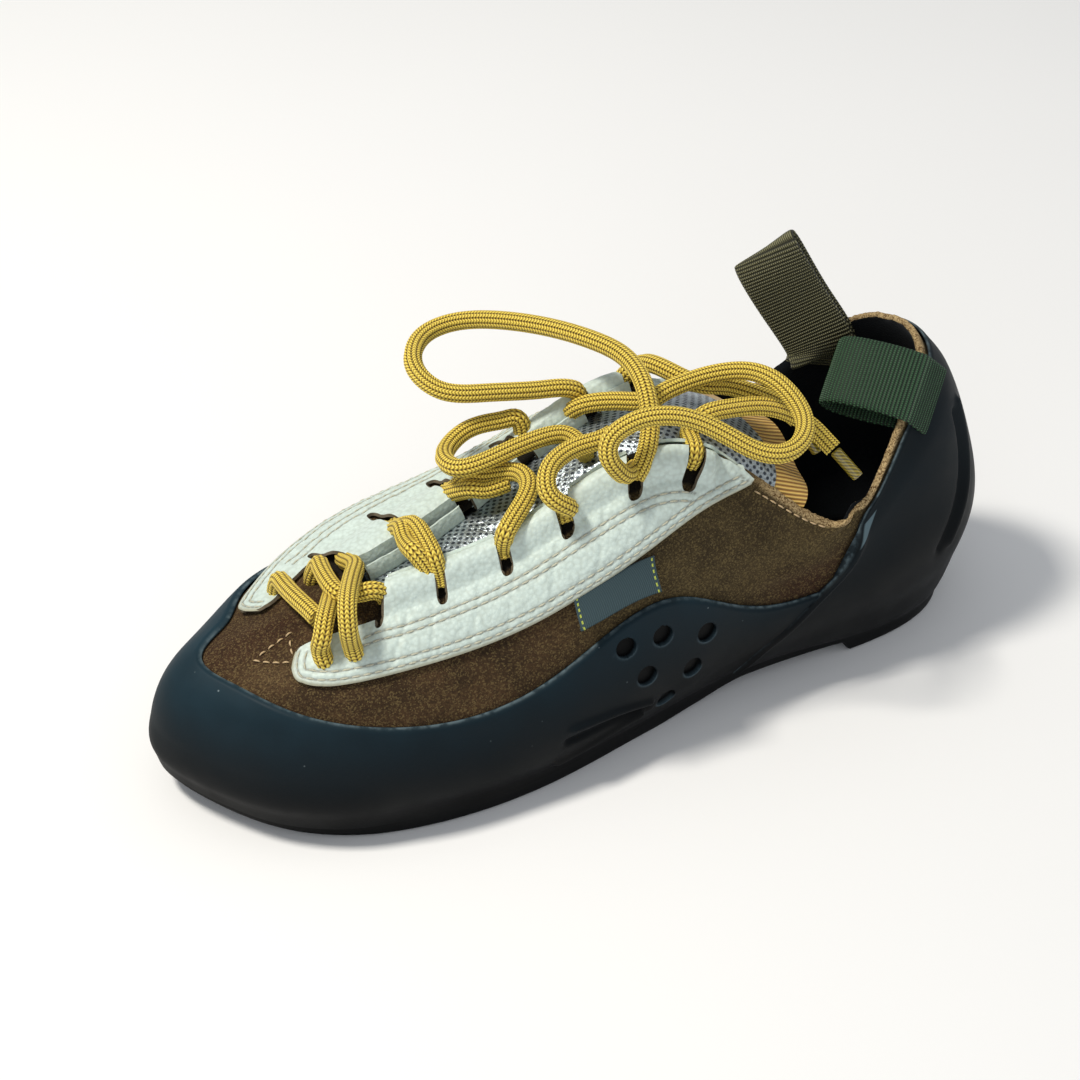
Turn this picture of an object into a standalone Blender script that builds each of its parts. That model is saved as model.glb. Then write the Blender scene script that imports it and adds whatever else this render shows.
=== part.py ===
"""Lace-up climbing shoe for the left foot, standing empty on its sole.

The toe points along -X, the heel along +X, the little-toe side is -Y, and the floor is z = 0.
The upper is a thin shell over a last. The last is a loft through five closed lines round the foot:
foot edge, widest line, low shoulder, high shoulder and top edge.
Rands, eyestays and tab are patches of the same loft, pushed outwards by a clearance and their thickness.
"""
import math
import bpy
import numpy as np

# Main sizes in metres
LENGTH = 0.255
WIDTH = 0.092
INSTEP = 0.080
ORIGIN_SHARE = 0.70

# Walls, sheets and clearances in metres
WALL = 0.0020
GAP = 0.0003
LAP = 0.0006
RAND = 0.0016
HEEL_RAND = 0.0021
STAY = 0.0013
STAY_ROLL = 0.0034
TAB_SHEET = 0.0010
TONGUE = 0.0022
TONGUE_GAP = 0.0005
SEAT = 0.0007
BINDING_EXTRA = 0.0007
INSOLE = 0.0016
WEBBING = 0.0015
WEBBING_WIDTH = 0.0205
LACE = 0.0050
AGLET = 0.0034
SOLE_EDGE = 0.0012
HOLE = 0.0062

# Sections round the foot, from the toe tip over the little-toe side to the heel and back.
# wide_ is the widest line and top_ the top edge, as shares of LENGTH, WIDTH and INSTEP.
# foot_in is the inset of the foot edge and sole_out how far the sole passes it, as shares of WIDTH.
# low_ and high_ are shares of the way in and of the way up from the widest line to the top edge.
# rand_v is the upper edge of the toe rand as a share of the way round the section.
SECTION_COLUMNS = (
    "wide_along", "wide_side", "wide_up", "foot_in", "sole_out", "top_along", "top_side", "top_up",
    "low_in", "low_up", "high_in", "high_up", "rand_v")
SECTIONS = (
    # toe tip
    (0.985, 0.020, 0.22, 0.050, 0.050, 0.805, -0.030, 0.66, 0.06, 0.40, 0.36, 0.73, 0.715),
    (0.957, -0.170, 0.21, 0.055, 0.052, 0.797, -0.065, 0.66, 0.07, 0.41, 0.38, 0.75, 0.690),
    # little toe
    (0.885, -0.370, 0.20, 0.060, 0.052, 0.770, -0.095, 0.70, 0.09, 0.40, 0.42, 0.78, 0.600),
    (0.745, -0.490, 0.19, 0.060, 0.055, 0.700, -0.110, 0.76, 0.12, 0.38, 0.50, 0.79, 0.485),
    (0.590, -0.475, 0.19, 0.060, 0.052, 0.560, -0.125, 0.88, 0.13, 0.36, 0.52, 0.79, 0.485),
    (0.450, -0.405, 0.24, 0.070, 0.040, 0.395, -0.170, 1.06, 0.10, 0.34, 0.45, 0.76, 0.530),
    # ankle, outer side
    (0.300, -0.350, 0.30, 0.070, 0.034, 0.235, -0.326, 0.69, 0.02, 0.36, 0.40, 0.75, 0.420),
    (0.150, -0.330, 0.34, 0.072, 0.030, 0.148, -0.255, 0.93, 0.12, 0.35, 0.55, 0.72, 0.360),
    (0.045, -0.235, 0.40, 0.076, 0.026, 0.099, -0.140, 1.10, 0.15, 0.37, 0.55, 0.74, 0.360),
    # heel back
    (0.000, 0.000, 0.42, 0.080, 0.026, 0.080, 0.000, 1.16, 0.15, 0.37, 0.55, 0.74, 0.360),
    (0.045, 0.235, 0.40, 0.076, 0.026, 0.095, 0.150, 1.13, 0.15, 0.37, 0.55, 0.74, 0.360),
    (0.150, 0.325, 0.34, 0.072, 0.032, 0.142, 0.265, 1.00, 0.12, 0.35, 0.55, 0.72, 0.360),
    # ankle, inner side
    (0.300, 0.320, 0.32, 0.070, 0.036, 0.235, 0.316, 0.79, 0.02, 0.40, 0.25, 0.80, 0.420),
    (0.450, 0.330, 0.32, 0.070, 0.040, 0.400, 0.165, 1.06, 0.03, 0.45, 0.28, 0.82, 0.500),
    (0.590, 0.395, 0.22, 0.070, 0.050, 0.560, 0.110, 0.89, 0.04, 0.45, 0.26, 0.84, 0.460),
    (0.745, 0.440, 0.19, 0.060, 0.055, 0.700, 0.015, 0.76, 0.06, 0.42, 0.28, 0.82, 0.500),
    # big toe
    (0.872, 0.328, 0.20, 0.058, 0.052, 0.775, -0.012, 0.70, 0.08, 0.38, 0.34, 0.74, 0.650),
    (0.948, 0.160, 0.21, 0.055, 0.050, 0.797, -0.018, 0.66, 0.07, 0.40, 0.36, 0.73, 0.745),
)
LEVELS = (0.0, 0.22, 0.46, 0.74, 1.0)
COLUMNS = np.arange(72) / 72
UPPER_ROWS = np.array([0.0, 0.10, 0.22, 0.36, 0.49, 0.60, 0.69, 0.78, 0.88, 1.0])

# Sole line: place along the foot as a share of LENGTH, underside and upper side as shares of INSTEP
SOLE_LINE = (
    (0.000, 0.060, 0.120),
    (0.030, 0.012, 0.076),
    (0.060, 0.000, 0.066),
    (0.150, 0.000, 0.066),
    (0.186, 0.000, 0.074),
    (0.196, 0.046, 0.078),
    (0.250, 0.058, 0.096),
    (0.330, 0.060, 0.106),
    (0.400, 0.022, 0.086),
    (0.460, 0.000, 0.064),
    (0.620, 0.000, 0.060),
    (0.780, 0.000, 0.060),
    (0.860, 0.014, 0.072),
    (0.930, 0.042, 0.100),
    (1.000, 0.080, 0.138),
)

# Front edge of the heel rand on each side: height share, place round the foot on the outer side
HEEL_FRONT = (
    (0.00, 0.322), (0.12, 0.336), (0.30, 0.357), (0.48, 0.379), (0.62, 0.384), (0.80, 0.380), (1.00, 0.376))
MIRROR = 1.012

# Eyestays: place round the foot, outer edge, inner edge (shares of the way round the section)
STAY_OUTER = (
    (0.067, 0.780, 0.800), (0.070, 0.742, 0.842), (0.078, 0.708, 0.880), (0.092, 0.690, 0.915),
    (0.110, 0.681, 0.955), (0.122, 0.678, 0.985), (0.160, 0.668, 0.985), (0.200, 0.660, 0.985),
    (0.233, 0.656, 0.985), (0.262, 0.672, 0.985), (0.284, 0.712, 0.985), (0.296, 0.840, 0.985),
    (0.303, 0.945, 0.985), (0.305, 0.968, 0.985))
STAY_INNER = (
    (0.955, 0.780, 0.800), (0.951, 0.745, 0.842), (0.944, 0.728, 0.880), (0.930, 0.722, 0.925),
    (0.915, 0.715, 0.955), (0.908, 0.712, 0.985), (0.861, 0.700, 0.985), (0.825, 0.695, 0.985),
    (0.785, 0.690, 0.985), (0.757, 0.700, 0.985), (0.735, 0.735, 0.985), (0.722, 0.850, 0.985),
    (0.714, 0.945, 0.985), (0.712, 0.968, 0.985))
SLOTS_OUTER = (0.1190, 0.1600, 0.1960, 0.2265, 0.2570, 0.2800)
SLOTS_INNER = (0.9040, 0.8610, 0.8250, 0.7900, 0.7575, 0.7345)
SLOT_HALF = 0.0032
SLOT_BOTTOM = 0.875

# Side tab: range round the foot and range up the section
TAB_RANGE = (0.2255, 0.2665)
TAB_UP = (0.553, 0.642)

# Six round holes in the arch rand: place round the foot, share up the section
HOLES = ((0.251, 0.456), (0.272, 0.438), (0.299, 0.394), (0.263, 0.338), (0.291, 0.275), (0.277, 0.180))

# Lace: route points in metres, x towards the heel, y towards the inner side, z up.
# Short crossings over the throat, in three groups of strands that touch
CROSSINGS = {
    "lace_front": (
        ((-.0329, .0090, .0546), (-.0325, .0045, .0561), (-.0315, -.0040, .0577), (-.0300, -.0105, .0582),
         (-.0292, -.0140, .0582)),
        ((-.0312, -.0215, .0547), (-.0308, -.0222, .0582), (-.0290, -.0195, .0609), (-.0265, -.0145, .0605),
         (-.0240, -.0090, .0587), (-.0215, -.0045, .0577)),
        ((-.0223, .0056, .0594), (-.0226, .0018, .0609), (-.0227, -.0084, .0622), (-.0213, -.0113, .0619),
         (-.0188, -.0121, .0617), (-.0160, -.0132, .0622), (-.0130, -.0140, .0625)),
        ((-.0236, -.0245, .0567), (-.0244, -.0259, .0622), (-.0234, -.0227, .0667), (-.0199, -.0146, .0662),
         (-.0165, -.0075, .0642), (-.0145, -.0025, .0627)),
    ),
    "lace_second": (
        ((.0046, -.0134, .0672), (.0046, -.0115, .0683), (.0043, -.0065, .0696), (.0037, .0005, .0690)),
        ((.0006, .0012, .0680), (-.0002, -.0036, .0682), (-.0002, -.0080, .0685), (.0004, -.0108, .0685)),
    ),
    "lace_third": (
        ((.0240, -.0165, .0722), (.0255, -.0155, .0735), (.0276, -.0140, .0747), (.0329, -.0098, .0770),
         (.0355, -.0051, .0780), (.0342, .0010, .0775), (.0268, .0056, .0755), (.0240, .0075, .0750)),
        ((.0225, .0040, .0730), (.0250, .0025, .0730), (.0284, .0015, .0735), (.0320, .0015, .0740)),
    ),
}
# Loops, hook and ends of the bow
CORDS = {
    "lace_small_loop": (
        (.0415, .0165, .0830), (.0380, .0178, .0828), (.0332, .0195, .0818), (.0269, .0202, .0803),
        (.0204, .0170, .0785), (.0177, .0108, .0792), (.0193, .0058, .0800), (.0250, .0039, .0812),
        (.0342, .0046, .0825), (.0449, .0058, .0830), (.0509, .0045, .0828), (.0529, -.0006, .0825),
        (.0520, -.0060, .0830)),
    "lace_hook": (
        (.0413, -.0198, .0781), (.0380, -.0202, .0812), (.0358, -.0182, .0840), (.0371, -.0145, .0870),
        (.0413, -.0113, .0885), (.0479, -.0097, .0895), (.0546, -.0099, .0900), (.0587, -.0087, .0900)),
    "lace_left_loop": (
        (.0590, .0150, .0880), (.0556, .0153, .0903), (.0475, .0170, .0908), (.0342, .0198, .0918),
        (.0225, .0246, .0925), (.0180, .0325, .0950), (.0191, .0384, .0970), (.0245, .0439, .0985),
        (.0338, .0445, .1000), (.0448, .0385, .1015), (.0563, .0269, .1030), (.0644, .0157, .1035),
        (.0687, .0078, .1030), (.0700, .0000, .1020), (.0695, -.0065, .1000)),
    "lace_right_loop": (
        (.0574, -.0212, .0855), (.0540, -.0222, .0890), (.0520, -.0212, .0930), (.0533, -.0194, .0970),
        (.0578, -.0190, .1000), (.0639, -.0202, .1020), (.0723, -.0230, .1015), (.0787, -.0264, .0990),
        (.0839, -.0301, .0960), (.0891, -.0337, .0930), (.0949, -.0360, .0915), (.1008, -.0351, .0915),
        (.1057, -.0309, .0925), (.1080, -.0242, .0940), (.1070, -.0175, .0965), (.1046, -.0121, .0980),
        (.1003, -.0067, .0980), (.0931, -.0029, .0968), (.0859, -.0009, .0950), (.0777, -.0008, .0932),
        (.0735, -.0008, .0918), (.0690, .0025, .0905), (.0650, .0058, .0895)),
    "lace_long_end": (
        (.0808, -.0115, .0860), (.0822, -.0124, .0895), (.0848, -.0130, .0920), (.0910, -.0130, .0920),
        (.1000, -.0131, .0905), (.1069, -.0139, .0880), (.1118, -.0151, .0850), (.1158, -.0175, .0820),
        (.1184, -.0208, .0790), (.1200, -.0236, .0770)),
    "lace_short_end": (
        (.0795, .0188, .0893), (.0815, .0140, .0922), (.0842, .0077, .0928), (.0897, .0012, .0915),
        (.0968, -.0005, .0900), (.1026, -.0035, .0885), (.1083, -.0066, .0860), (.1129, -.0082, .0825),
        (.1155, -.0105, .0795)),
}
AGLETS = {
    "aglet_long": ((.1203, -.0240, .0766), (.1243, -.0312, .0712)),
    "aglet_short": ((.1157, -.0114, .0788), (.1190, -.0174, .0718)),
}


def hex_rgb(code):
    """sRGB hex code to linear colour."""
    parts = [int(code[i:i + 2], 16) / 255 for i in (0, 2, 4)]
    return [c / 12.92 if c < 0.04045 else ((c + 0.055) / 1.055) ** 2.4 for c in parts] + [1.0]


def material(name, code, roughness, metallic=0.0):
    made = bpy.data.materials.new(name)
    made.use_nodes = True
    shader = made.node_tree.nodes["Principled BSDF"]
    shader.inputs["Base Color"].default_value = hex_rgb(code)
    shader.inputs["Roughness"].default_value = roughness
    shader.inputs["Metallic"].default_value = metallic
    made.diffuse_color = hex_rgb(code)
    return made


def closed_spline(knots, at):
    """Weights of the periodic cubic spline through values at these knots on a loop of length 1."""
    count = len(knots)
    step = np.diff(np.append(knots, knots[0] + 1.0))
    left = np.zeros((count, count))
    right = np.zeros((count, count))
    for i in range(count):
        before, after = (i - 1) % count, (i + 1) % count
        left[i, before] += step[i - 1]
        left[i, i] += 2 * (step[i - 1] + step[i])
        left[i, after] += step[i]
        right[i, after] += 6 / step[i]
        right[i, i] -= 6 / step[i] + 6 / step[i - 1]
        right[i, before] += 6 / step[i - 1]
    bend = np.linalg.solve(left, right)
    place = np.mod(np.asarray(at, float) - knots[0], 1.0) + knots[0]
    i = np.clip(np.searchsorted(knots, place, side="right") - 1, 0, count - 1)
    j = (i + 1) % count
    return spline_rows(place - knots[i], step[i], i, j, bend, count)


def open_spline(knots, at):
    """Weights of the natural cubic spline through values at these knots."""
    knots = np.asarray(knots, float)
    count = len(knots)
    step = np.diff(knots)
    left = np.eye(count)
    right = np.zeros((count, count))
    for i in range(1, count - 1):
        left[i, i - 1:i + 2] = step[i - 1], 2 * (step[i - 1] + step[i]), step[i]
        right[i, i - 1:i + 2] = 6 / step[i - 1], -6 / step[i] - 6 / step[i - 1], 6 / step[i]
    bend = np.linalg.solve(left, right)
    place = np.asarray(at, float)
    i = np.clip(np.searchsorted(knots, place, side="right") - 1, 0, count - 2)
    return spline_rows(place - knots[i], step[i], i, i + 1, bend, count)


def spline_rows(a, h, i, j, bend, count):
    """Cubic weights: linear part plus (b^3/h - h b)/6 and (a^3/h - h a)/6 times the bends."""
    b = h - a
    rows = np.zeros((len(a), count))
    index = np.arange(len(a))
    rows[index, i] += b / h
    rows[index, j] += a / h
    rows += ((b ** 3 / h - h * b) / 6)[:, None] * bend[i]
    rows += ((a ** 3 / h - h * a) / 6)[:, None] * bend[j]
    return rows


def monotone(xs, ys, at):
    """Smooth curve through the points that never overshoots them."""
    xs, ys, at = np.asarray(xs, float), np.asarray(ys, float), np.asarray(at, float)
    h = np.diff(xs)
    d = np.diff(ys) / h
    m = np.concatenate([[d[0]], (d[:-1] + d[1:]) / 2, [d[-1]]])
    m[1:-1] = np.where(d[:-1] * d[1:] <= 0, 0, np.sign(d[1:]) * np.minimum(
        np.abs(m[1:-1]), 2.5 * np.minimum(np.abs(d[:-1]), np.abs(d[1:]))))
    i = np.clip(np.searchsorted(xs, at, side="right") - 1, 0, len(h) - 1)
    u = np.clip((at - xs[i]) / h[i], 0, 1)
    return (ys[i] * (1 + 2 * u) * (1 - u) ** 2 + h[i] * m[i] * u * (1 - u) ** 2
            + ys[i + 1] * u * u * (3 - 2 * u) - h[i] * m[i + 1] * u * u * (1 - u))


def sole_low(x):
    rows = np.array(SOLE_LINE)
    return INSTEP * monotone(rows[:, 0], rows[:, 1], ORIGIN_SHARE - x / LENGTH)


def sole_top(x):
    rows = np.array(SOLE_LINE)
    return INSTEP * monotone(rows[:, 0], rows[:, 2], ORIGIN_SHARE - x / LENGTH)


def level_lines():
    """The five closed lines of the last as arrays of points, and the knots round the loop."""
    table = np.array(SECTIONS)
    col = {name: table[:, i] for i, name in enumerate(SECTION_COLUMNS)}
    wide = np.stack([LENGTH * (ORIGIN_SHARE - col["wide_along"]), WIDTH * col["wide_side"],
                     INSTEP * col["wide_up"]], 1)
    top = np.stack([LENGTH * (ORIGIN_SHARE - col["top_along"]), WIDTH * col["top_side"],
                    INSTEP * col["top_up"]], 1)
    along = (np.roll(wide, -1, 0) - np.roll(wide, 1, 0))[:, :2]
    along /= np.linalg.norm(along, axis=1)[:, None]
    out = np.stack([along[:, 1], -along[:, 0]], 1)
    foot = wide.copy()
    foot[:, :2] -= out * (WIDTH * col["foot_in"])[:, None]
    foot[:, 2] = sole_top(foot[:, 0]) + SEAT
    sole = foot.copy()
    sole[:, :2] += out * (WIDTH * col["sole_out"])[:, None]
    lines = [foot, wide]
    for name in ("low", "high"):
        line = wide.copy()
        line[:, :2] += (top - wide)[:, :2] * col[name + "_in"][:, None]
        line[:, 2] += (top - wide)[:, 2] * col[name + "_up"]
        lines.append(line)
    lines.append(top)
    chord = np.linalg.norm(np.roll(wide, -1, 0) - wide, axis=1)
    knots = np.concatenate([[0.0], np.cumsum(chord)[:-1]]) / chord.sum()
    return lines, sole, knots, col["rand_v"]


LINES, SOLE_RING, KNOTS, RAND_V = level_lines()


def last(t, v):
    """Point of the last at place t round the foot and share v up the section."""
    t, v = np.broadcast_arrays(np.asarray(t, float), np.asarray(v, float))
    round_foot = closed_spline(KNOTS, t.ravel())
    up = open_spline(LEVELS, v.ravel())
    point = sum(up[:, k:k + 1] * (round_foot @ LINES[k]) for k in range(5))
    return point.reshape(t.shape + (3,))


def unit(a):
    return a / np.maximum(np.linalg.norm(a, axis=-1, keepdims=True), 1e-12)


def outward(t, v):
    """Unit normal of the last, pointing out of the foot."""
    e = 1e-3
    v = np.asarray(v, float)
    dt = last(t + e, v) - last(t - e, v)
    dv = last(t, np.minimum(v + e, 1.0)) - last(t, np.maximum(v - e, 0.0))
    return unit(np.cross(dt, dv))


def skin(t, v, off):
    """Last surface pushed out by off."""
    return last(t, v) + outward(t, v) * np.asarray(off)[..., None]


def ramp(x, low, high):
    u = np.clip((np.asarray(x, float) - low) / (high - low), 0, 1)
    return u * u * (3 - 2 * u)


def add_object(name, points, faces, mat, smooth=40):
    mesh = bpy.data.meshes.new(name)
    mesh.from_pydata([tuple(p) for p in points], [], faces)
    mesh.validate()
    volume = 0.0
    for poly in mesh.polygons:
        c = [np.array(mesh.vertices[i].co) for i in poly.vertices]
        for k in range(1, len(c) - 1):
            volume += float(np.dot(c[0], np.cross(c[k], c[k + 1])))
    if volume < 0:
        mesh.flip_normals()
    obj = bpy.data.objects.new(name, mesh)
    bpy.context.scene.collection.objects.link(obj)
    mesh.materials.append(mat)
    for poly in mesh.polygons:
        poly.use_smooth = True
    mesh.set_sharp_from_angle(angle=math.radians(smooth))
    return obj


def shell_faces(rows, cols, closed):
    """Faces of a sheet with two sides: rows x cols points outside, the same inside, and its edges."""
    half = rows * cols
    faces = []
    last_row = rows if closed else rows - 1
    for i in range(last_row):
        n = (i + 1) % rows
        for j in range(cols - 1):
            a, b, c, d = i * cols + j, n * cols + j, n * cols + j + 1, i * cols + j + 1
            faces.append((a, b, c, d))
            faces.append((half + d, half + c, half + b, half + a))
        a, b = i * cols, n * cols
        faces.append((b, a, half + a, half + b))
        a, b = i * cols + cols - 1, n * cols + cols - 1
        faces.append((a, b, half + b, half + a))
    if not closed:
        for j in range(cols - 1):
            faces.append((j, j + 1, half + j + 1, half + j))
            e = (rows - 1) * cols + j
            faces.append((e + 1, e, half + e, half + e + 1))
    return faces


def sheet(name, outer, inner, mat, closed=False, smooth=40):
    rows, cols = outer.shape[:2]
    points = np.concatenate([outer.reshape(-1, 3), inner.reshape(-1, 3)])
    return add_object(name, points, shell_faces(rows, cols, closed), mat, smooth)


def thick_sheet(name, outer, thickness, mat):
    """Sheet under a grid of points, its thickness laid off along the grid's own normal."""
    normal = unit(np.cross(np.gradient(outer, axis=0), np.gradient(outer, axis=1)))
    return sheet(name, outer, outer - normal * thickness, mat)


def plate(name, ring, inset, low, mid, top, mat, stations, across):
    """Flat-lying plate inside a closed plan ring, with its lower edge drawn in by inset."""
    grids = []
    for shrink, height in ((0.0, top), (0.0, mid), (inset, low)):
        tangent = unit(np.roll(ring, -1, 0) - np.roll(ring, 1, 0))
        plan = ring[:, :2] - np.stack([tangent[:, 1], -tangent[:, 0]], 1) * shrink
        toe, heel = int(np.argmin(plan[:, 0])), int(np.argmax(plan[:, 0]))
        order = np.roll(np.arange(len(plan)), -toe)
        turn = (heel - toe) % len(plan)
        outer = plan[order[:turn + 1]]
        inner = plan[np.append(order[turn:], order[0])]
        bunched = (1 - np.cos(np.linspace(0, np.pi, stations)[1:-1])) / 2
        x = plan[toe, 0] + (plan[heel, 0] - plan[toe, 0]) * bunched
        first = np.interp(x, outer[:, 0], outer[:, 1])
        second = np.interp(x, inner[::-1, 0], inner[::-1, 1])
        share = np.linspace(0, 1, across)
        y = first[:, None] + (second - first)[:, None] * share
        flat = np.stack([np.repeat(x, across), y.ravel()], 1)
        flat = np.concatenate([flat, plan[toe][None], plan[heel][None]])
        grids.append(np.column_stack([flat, height(flat[:, 0])]))
    rows = stations - 2
    size = rows * across + 2
    toe, heel = rows * across, rows * across + 1
    cap = []
    for i in range(rows - 1):
        for j in range(across - 1):
            a = i * across + j
            cap.append((a, a + across, a + across + 1, a + 1))
    for j in range(across - 1):
        cap.append((toe, j, j + 1))
        cap.append((heel, (rows - 1) * across + j + 1, (rows - 1) * across + j))
    edge = [i * across for i in range(rows)] + [heel]
    edge += [i * across + across - 1 for i in range(rows - 1, -1, -1)] + [toe]
    faces = list(cap)
    faces += [tuple(2 * size + k for k in reversed(face)) for face in cap]
    for a, b in zip(edge, edge[1:] + edge[:1]):
        for shift in (0, size):
            faces.append((b + shift, a + shift, a + shift + size, b + shift + size))
    points = np.concatenate(grids)
    keep = np.ones(len(points), bool)
    keep[size:2 * size] = False
    keep[size + np.array(edge)] = True
    renumber = np.cumsum(keep) - 1
    faces = [tuple(int(renumber[k]) for k in face) for face in faces]
    return add_object(name, points[keep], faces, mat)


def band(name, path, across, width, thickness, mat):
    """Flat strip along a path of points; across is its width direction at each point."""
    path = np.asarray(path, float)
    across = unit(np.broadcast_to(np.asarray(across, float), path.shape))
    forward = unit(np.gradient(path, axis=0))
    across = unit(across - forward * (across * forward).sum(1)[:, None])
    normal = np.cross(forward, across)
    points = np.concatenate([
        path + across * width / 2 * a + normal * thickness / 2 * b
        for a, b in ((1, 1), (-1, 1), (-1, -1), (1, -1))])
    count = len(path)
    faces = [(0, count, 2 * count, 3 * count), tuple(k * count + count - 1 for k in (3, 2, 1, 0))]
    for k in range(4):
        a, b = k * count, ((k + 1) % 4) * count
        for i in range(count - 1):
            faces.append((a + i, a + i + 1, b + i + 1, b + i))
    return add_object(name, points, faces, mat)


def smooth_path(points, count):
    """Evenly spaced points on the cubic through hand-placed points."""
    points = np.asarray(points, float)
    chord = np.concatenate([[0], np.cumsum(np.sqrt(np.linalg.norm(np.diff(points, axis=0), axis=1)))])
    fine = open_spline(chord, np.linspace(0, chord[-1], 40 * len(points))) @ points
    length = np.concatenate([[0], np.cumsum(np.linalg.norm(np.diff(fine, axis=0), axis=1))])
    even = np.linspace(0, length[-1], count)
    return np.stack([np.interp(even, length, fine[:, k]) for k in range(3)], 1)


def above_sole(points):
    """Lift the lowest row of a rand clear of the sole it stands on."""
    points[:, 0, 2] = np.maximum(points[:, 0, 2], sole_top(points[:, 0, 0]) + GAP)
    return points


def heel_front(v):
    rows = np.array(HEEL_FRONT)
    return monotone(rows[:, 0], rows[:, 1], v)


def rand_top(t):
    return closed_spline(KNOTS, np.asarray(t, float).ravel()) @ RAND_V


def build_upper(mats):
    tt, vv = np.meshgrid(COLUMNS, UPPER_ROWS, indexing="ij")
    sheet("upper", last(tt, vv), skin(tt, vv, -WALL * np.ones_like(tt)), mats["suede"], closed=True)


def build_rands(mats):
    edge_gap = 0.0016
    low = 0.035
    both = np.concatenate([COLUMNS - 1, COLUMNS])
    middle = both[(both > -0.305) & (both < 0.305)]
    w = np.array([0.0, 0.22, 0.42, 0.62, 0.81, 1.0])
    ends = np.linspace(0, 1, 4)[:-1]
    tt = np.repeat(np.concatenate([-0.35 + 0 * ends, middle, 0.36 + 0 * ends])[:, None], len(w), 1)
    for _ in range(3):
        top = rand_top(tt).reshape(tt.shape)
        vv = low + w * (top - low)
        start = (MIRROR - 1 - heel_front(vv) + edge_gap)[0]
        stop = (heel_front(vv) - edge_gap)[-1]
        tt[:len(ends)] = start + (middle[0] - start) * ends[:, None]
        tt[-len(ends):] = stop + (middle[-1] - stop) * ends[::-1, None]
    thick = LAP + RAND * np.ones_like(tt)
    inner = skin(tt, vv, LAP * np.ones_like(tt))
    toe = sheet("toe_rand", above_sole(skin(tt, vv, thick)), inner, mats["rand"])
    drill_holes(toe)
    v = np.concatenate([[0.018], UPPER_ROWS[1:-1], [0.978]])
    middle = COLUMNS[(COLUMNS > 0.40) & (COLUMNS < MIRROR - 0.40)]
    front = heel_front(v)
    tt = np.concatenate([
        front + (middle[0] - front) * ends[:, None],
        np.repeat(middle[:, None], len(v), 1),
        MIRROR - front + (middle[-1] - MIRROR + front) * ends[::-1, None]])
    vv = np.repeat(v[None], len(tt), 0)
    thick = LAP + HEEL_RAND * np.ones_like(tt)
    inner = skin(tt, vv, LAP * np.ones_like(tt))
    sheet("heel_rand", above_sole(skin(tt, vv, thick)), inner, mats["heel_rubber"])


def drill_holes(target):
    """Cut the six round holes; the cutter is a guide and is not part of the shoe."""
    points, faces = [], []
    sides = 12
    for t, v in HOLES:
        centre = last(np.array([t]), np.array([v]))[0]
        axis = outward(np.array([t]), np.array([v]))[0]
        side = unit(np.cross(axis, [0, 0, 1]))
        rise = np.cross(side, axis)
        base = len(points)
        for depth in (-0.0002, 0.0060):
            for k in range(sides):
                a = 2 * math.pi * k / sides
                points.append(centre + axis * depth + (side * math.cos(a) + rise * math.sin(a)) * HOLE / 2)
        faces.append(tuple(base + k for k in range(sides)))
        faces.append(tuple(base + sides + k for k in reversed(range(sides))))
        for k in range(sides):
            n = (k + 1) % sides
            faces.append((base + n, base + k, base + sides + k, base + sides + n))
    mat = material("cutter guide", "808080", 0.5)
    cutter = add_object("hole_cutter", points, faces, mat)
    cutter.hide_render = True
    cutter.display_type = "WIRE"
    drill = target.modifiers.new("round holes", "BOOLEAN")
    drill.operation = "DIFFERENCE"
    drill.solver = "EXACT"
    drill.object = cutter


def build_stays(mats):
    for name, rows, slots in (
            ("eyestay_outer", STAY_OUTER, SLOTS_OUTER),
            ("eyestay_inner", STAY_INNER, SLOTS_INNER)):
        rows = np.array(rows)
        sign = 1 if rows[-1, 0] > rows[0, 0] else -1
        key = sign * rows[:, 0]
        cuts = []
        for s in slots:
            cuts += [s - SLOT_HALF - 0.0006, s - SLOT_HALF, s + SLOT_HALF, s + SLOT_HALF + 0.0006]
        between = [(a + b) / 2 for a, b in zip(slots[:-1], slots[1:])]
        own = COLUMNS[(COLUMNS > rows[:, 0].min()) & (COLUMNS < rows[:, 0].max())]
        clear = np.min(np.abs(own[:, None] - np.concatenate([cuts, rows[:, 0]])), axis=1) > 0.0022
        t = np.unique(np.round(np.concatenate([rows[:, 0], cuts, between, own[clear]]), 5))
        t = t[(t >= rows[:, 0].min()) & (t <= rows[:, 0].max())]
        t = t[np.concatenate([[True], np.diff(t) > 0.0004])]
        out = monotone(key, rows[:, 1], sign * t)
        inn = monotone(key, rows[:, 2], sign * t)
        near = np.min(np.abs(t[:, None] - np.array(slots)[None]), axis=1)
        tab = ramp(near, SLOT_HALF, SLOT_HALF + 0.0007)
        ends = ramp(t, min(slots), min(slots) + 0.002) * (1 - ramp(t, max(slots) + 0.008, max(slots) + 0.012))
        inn = np.where(near < SLOT_HALF + 0.0003, np.minimum(inn, SLOT_BOTTOM), inn)
        w = np.array([0.0, 0.22, 0.44, 0.66, 0.86, 1.0])
        vv = out[:, None] + (inn - out)[:, None] * w
        tt = np.repeat(t[:, None], len(w), 1)
        roll = np.array([0, 0, 0, 0.3, 1.0, 0.7]) * STAY_ROLL
        off = LAP + STAY + roll * (tab * ends)[:, None]
        sheet(name, skin(tt, vv, off), skin(tt, vv, LAP * np.ones_like(tt)), mats["white_leather"])


def build_tab(mats):
    u = np.linspace(0, 1, 7)
    w = np.linspace(0, 1, 4)
    uu, ww = np.meshgrid(u, w, indexing="ij")
    tt = TAB_RANGE[0] + uu * (TAB_RANGE[1] - TAB_RANGE[0])
    vv = TAB_UP[1] + ww * (TAB_UP[0] - TAB_UP[1])
    lift = GAP + 0.0005 + 0.0030 * ww
    sheet("side_tab", skin(tt, vv, lift + TAB_SHEET), skin(tt, vv, lift), mats["tab"])


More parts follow.
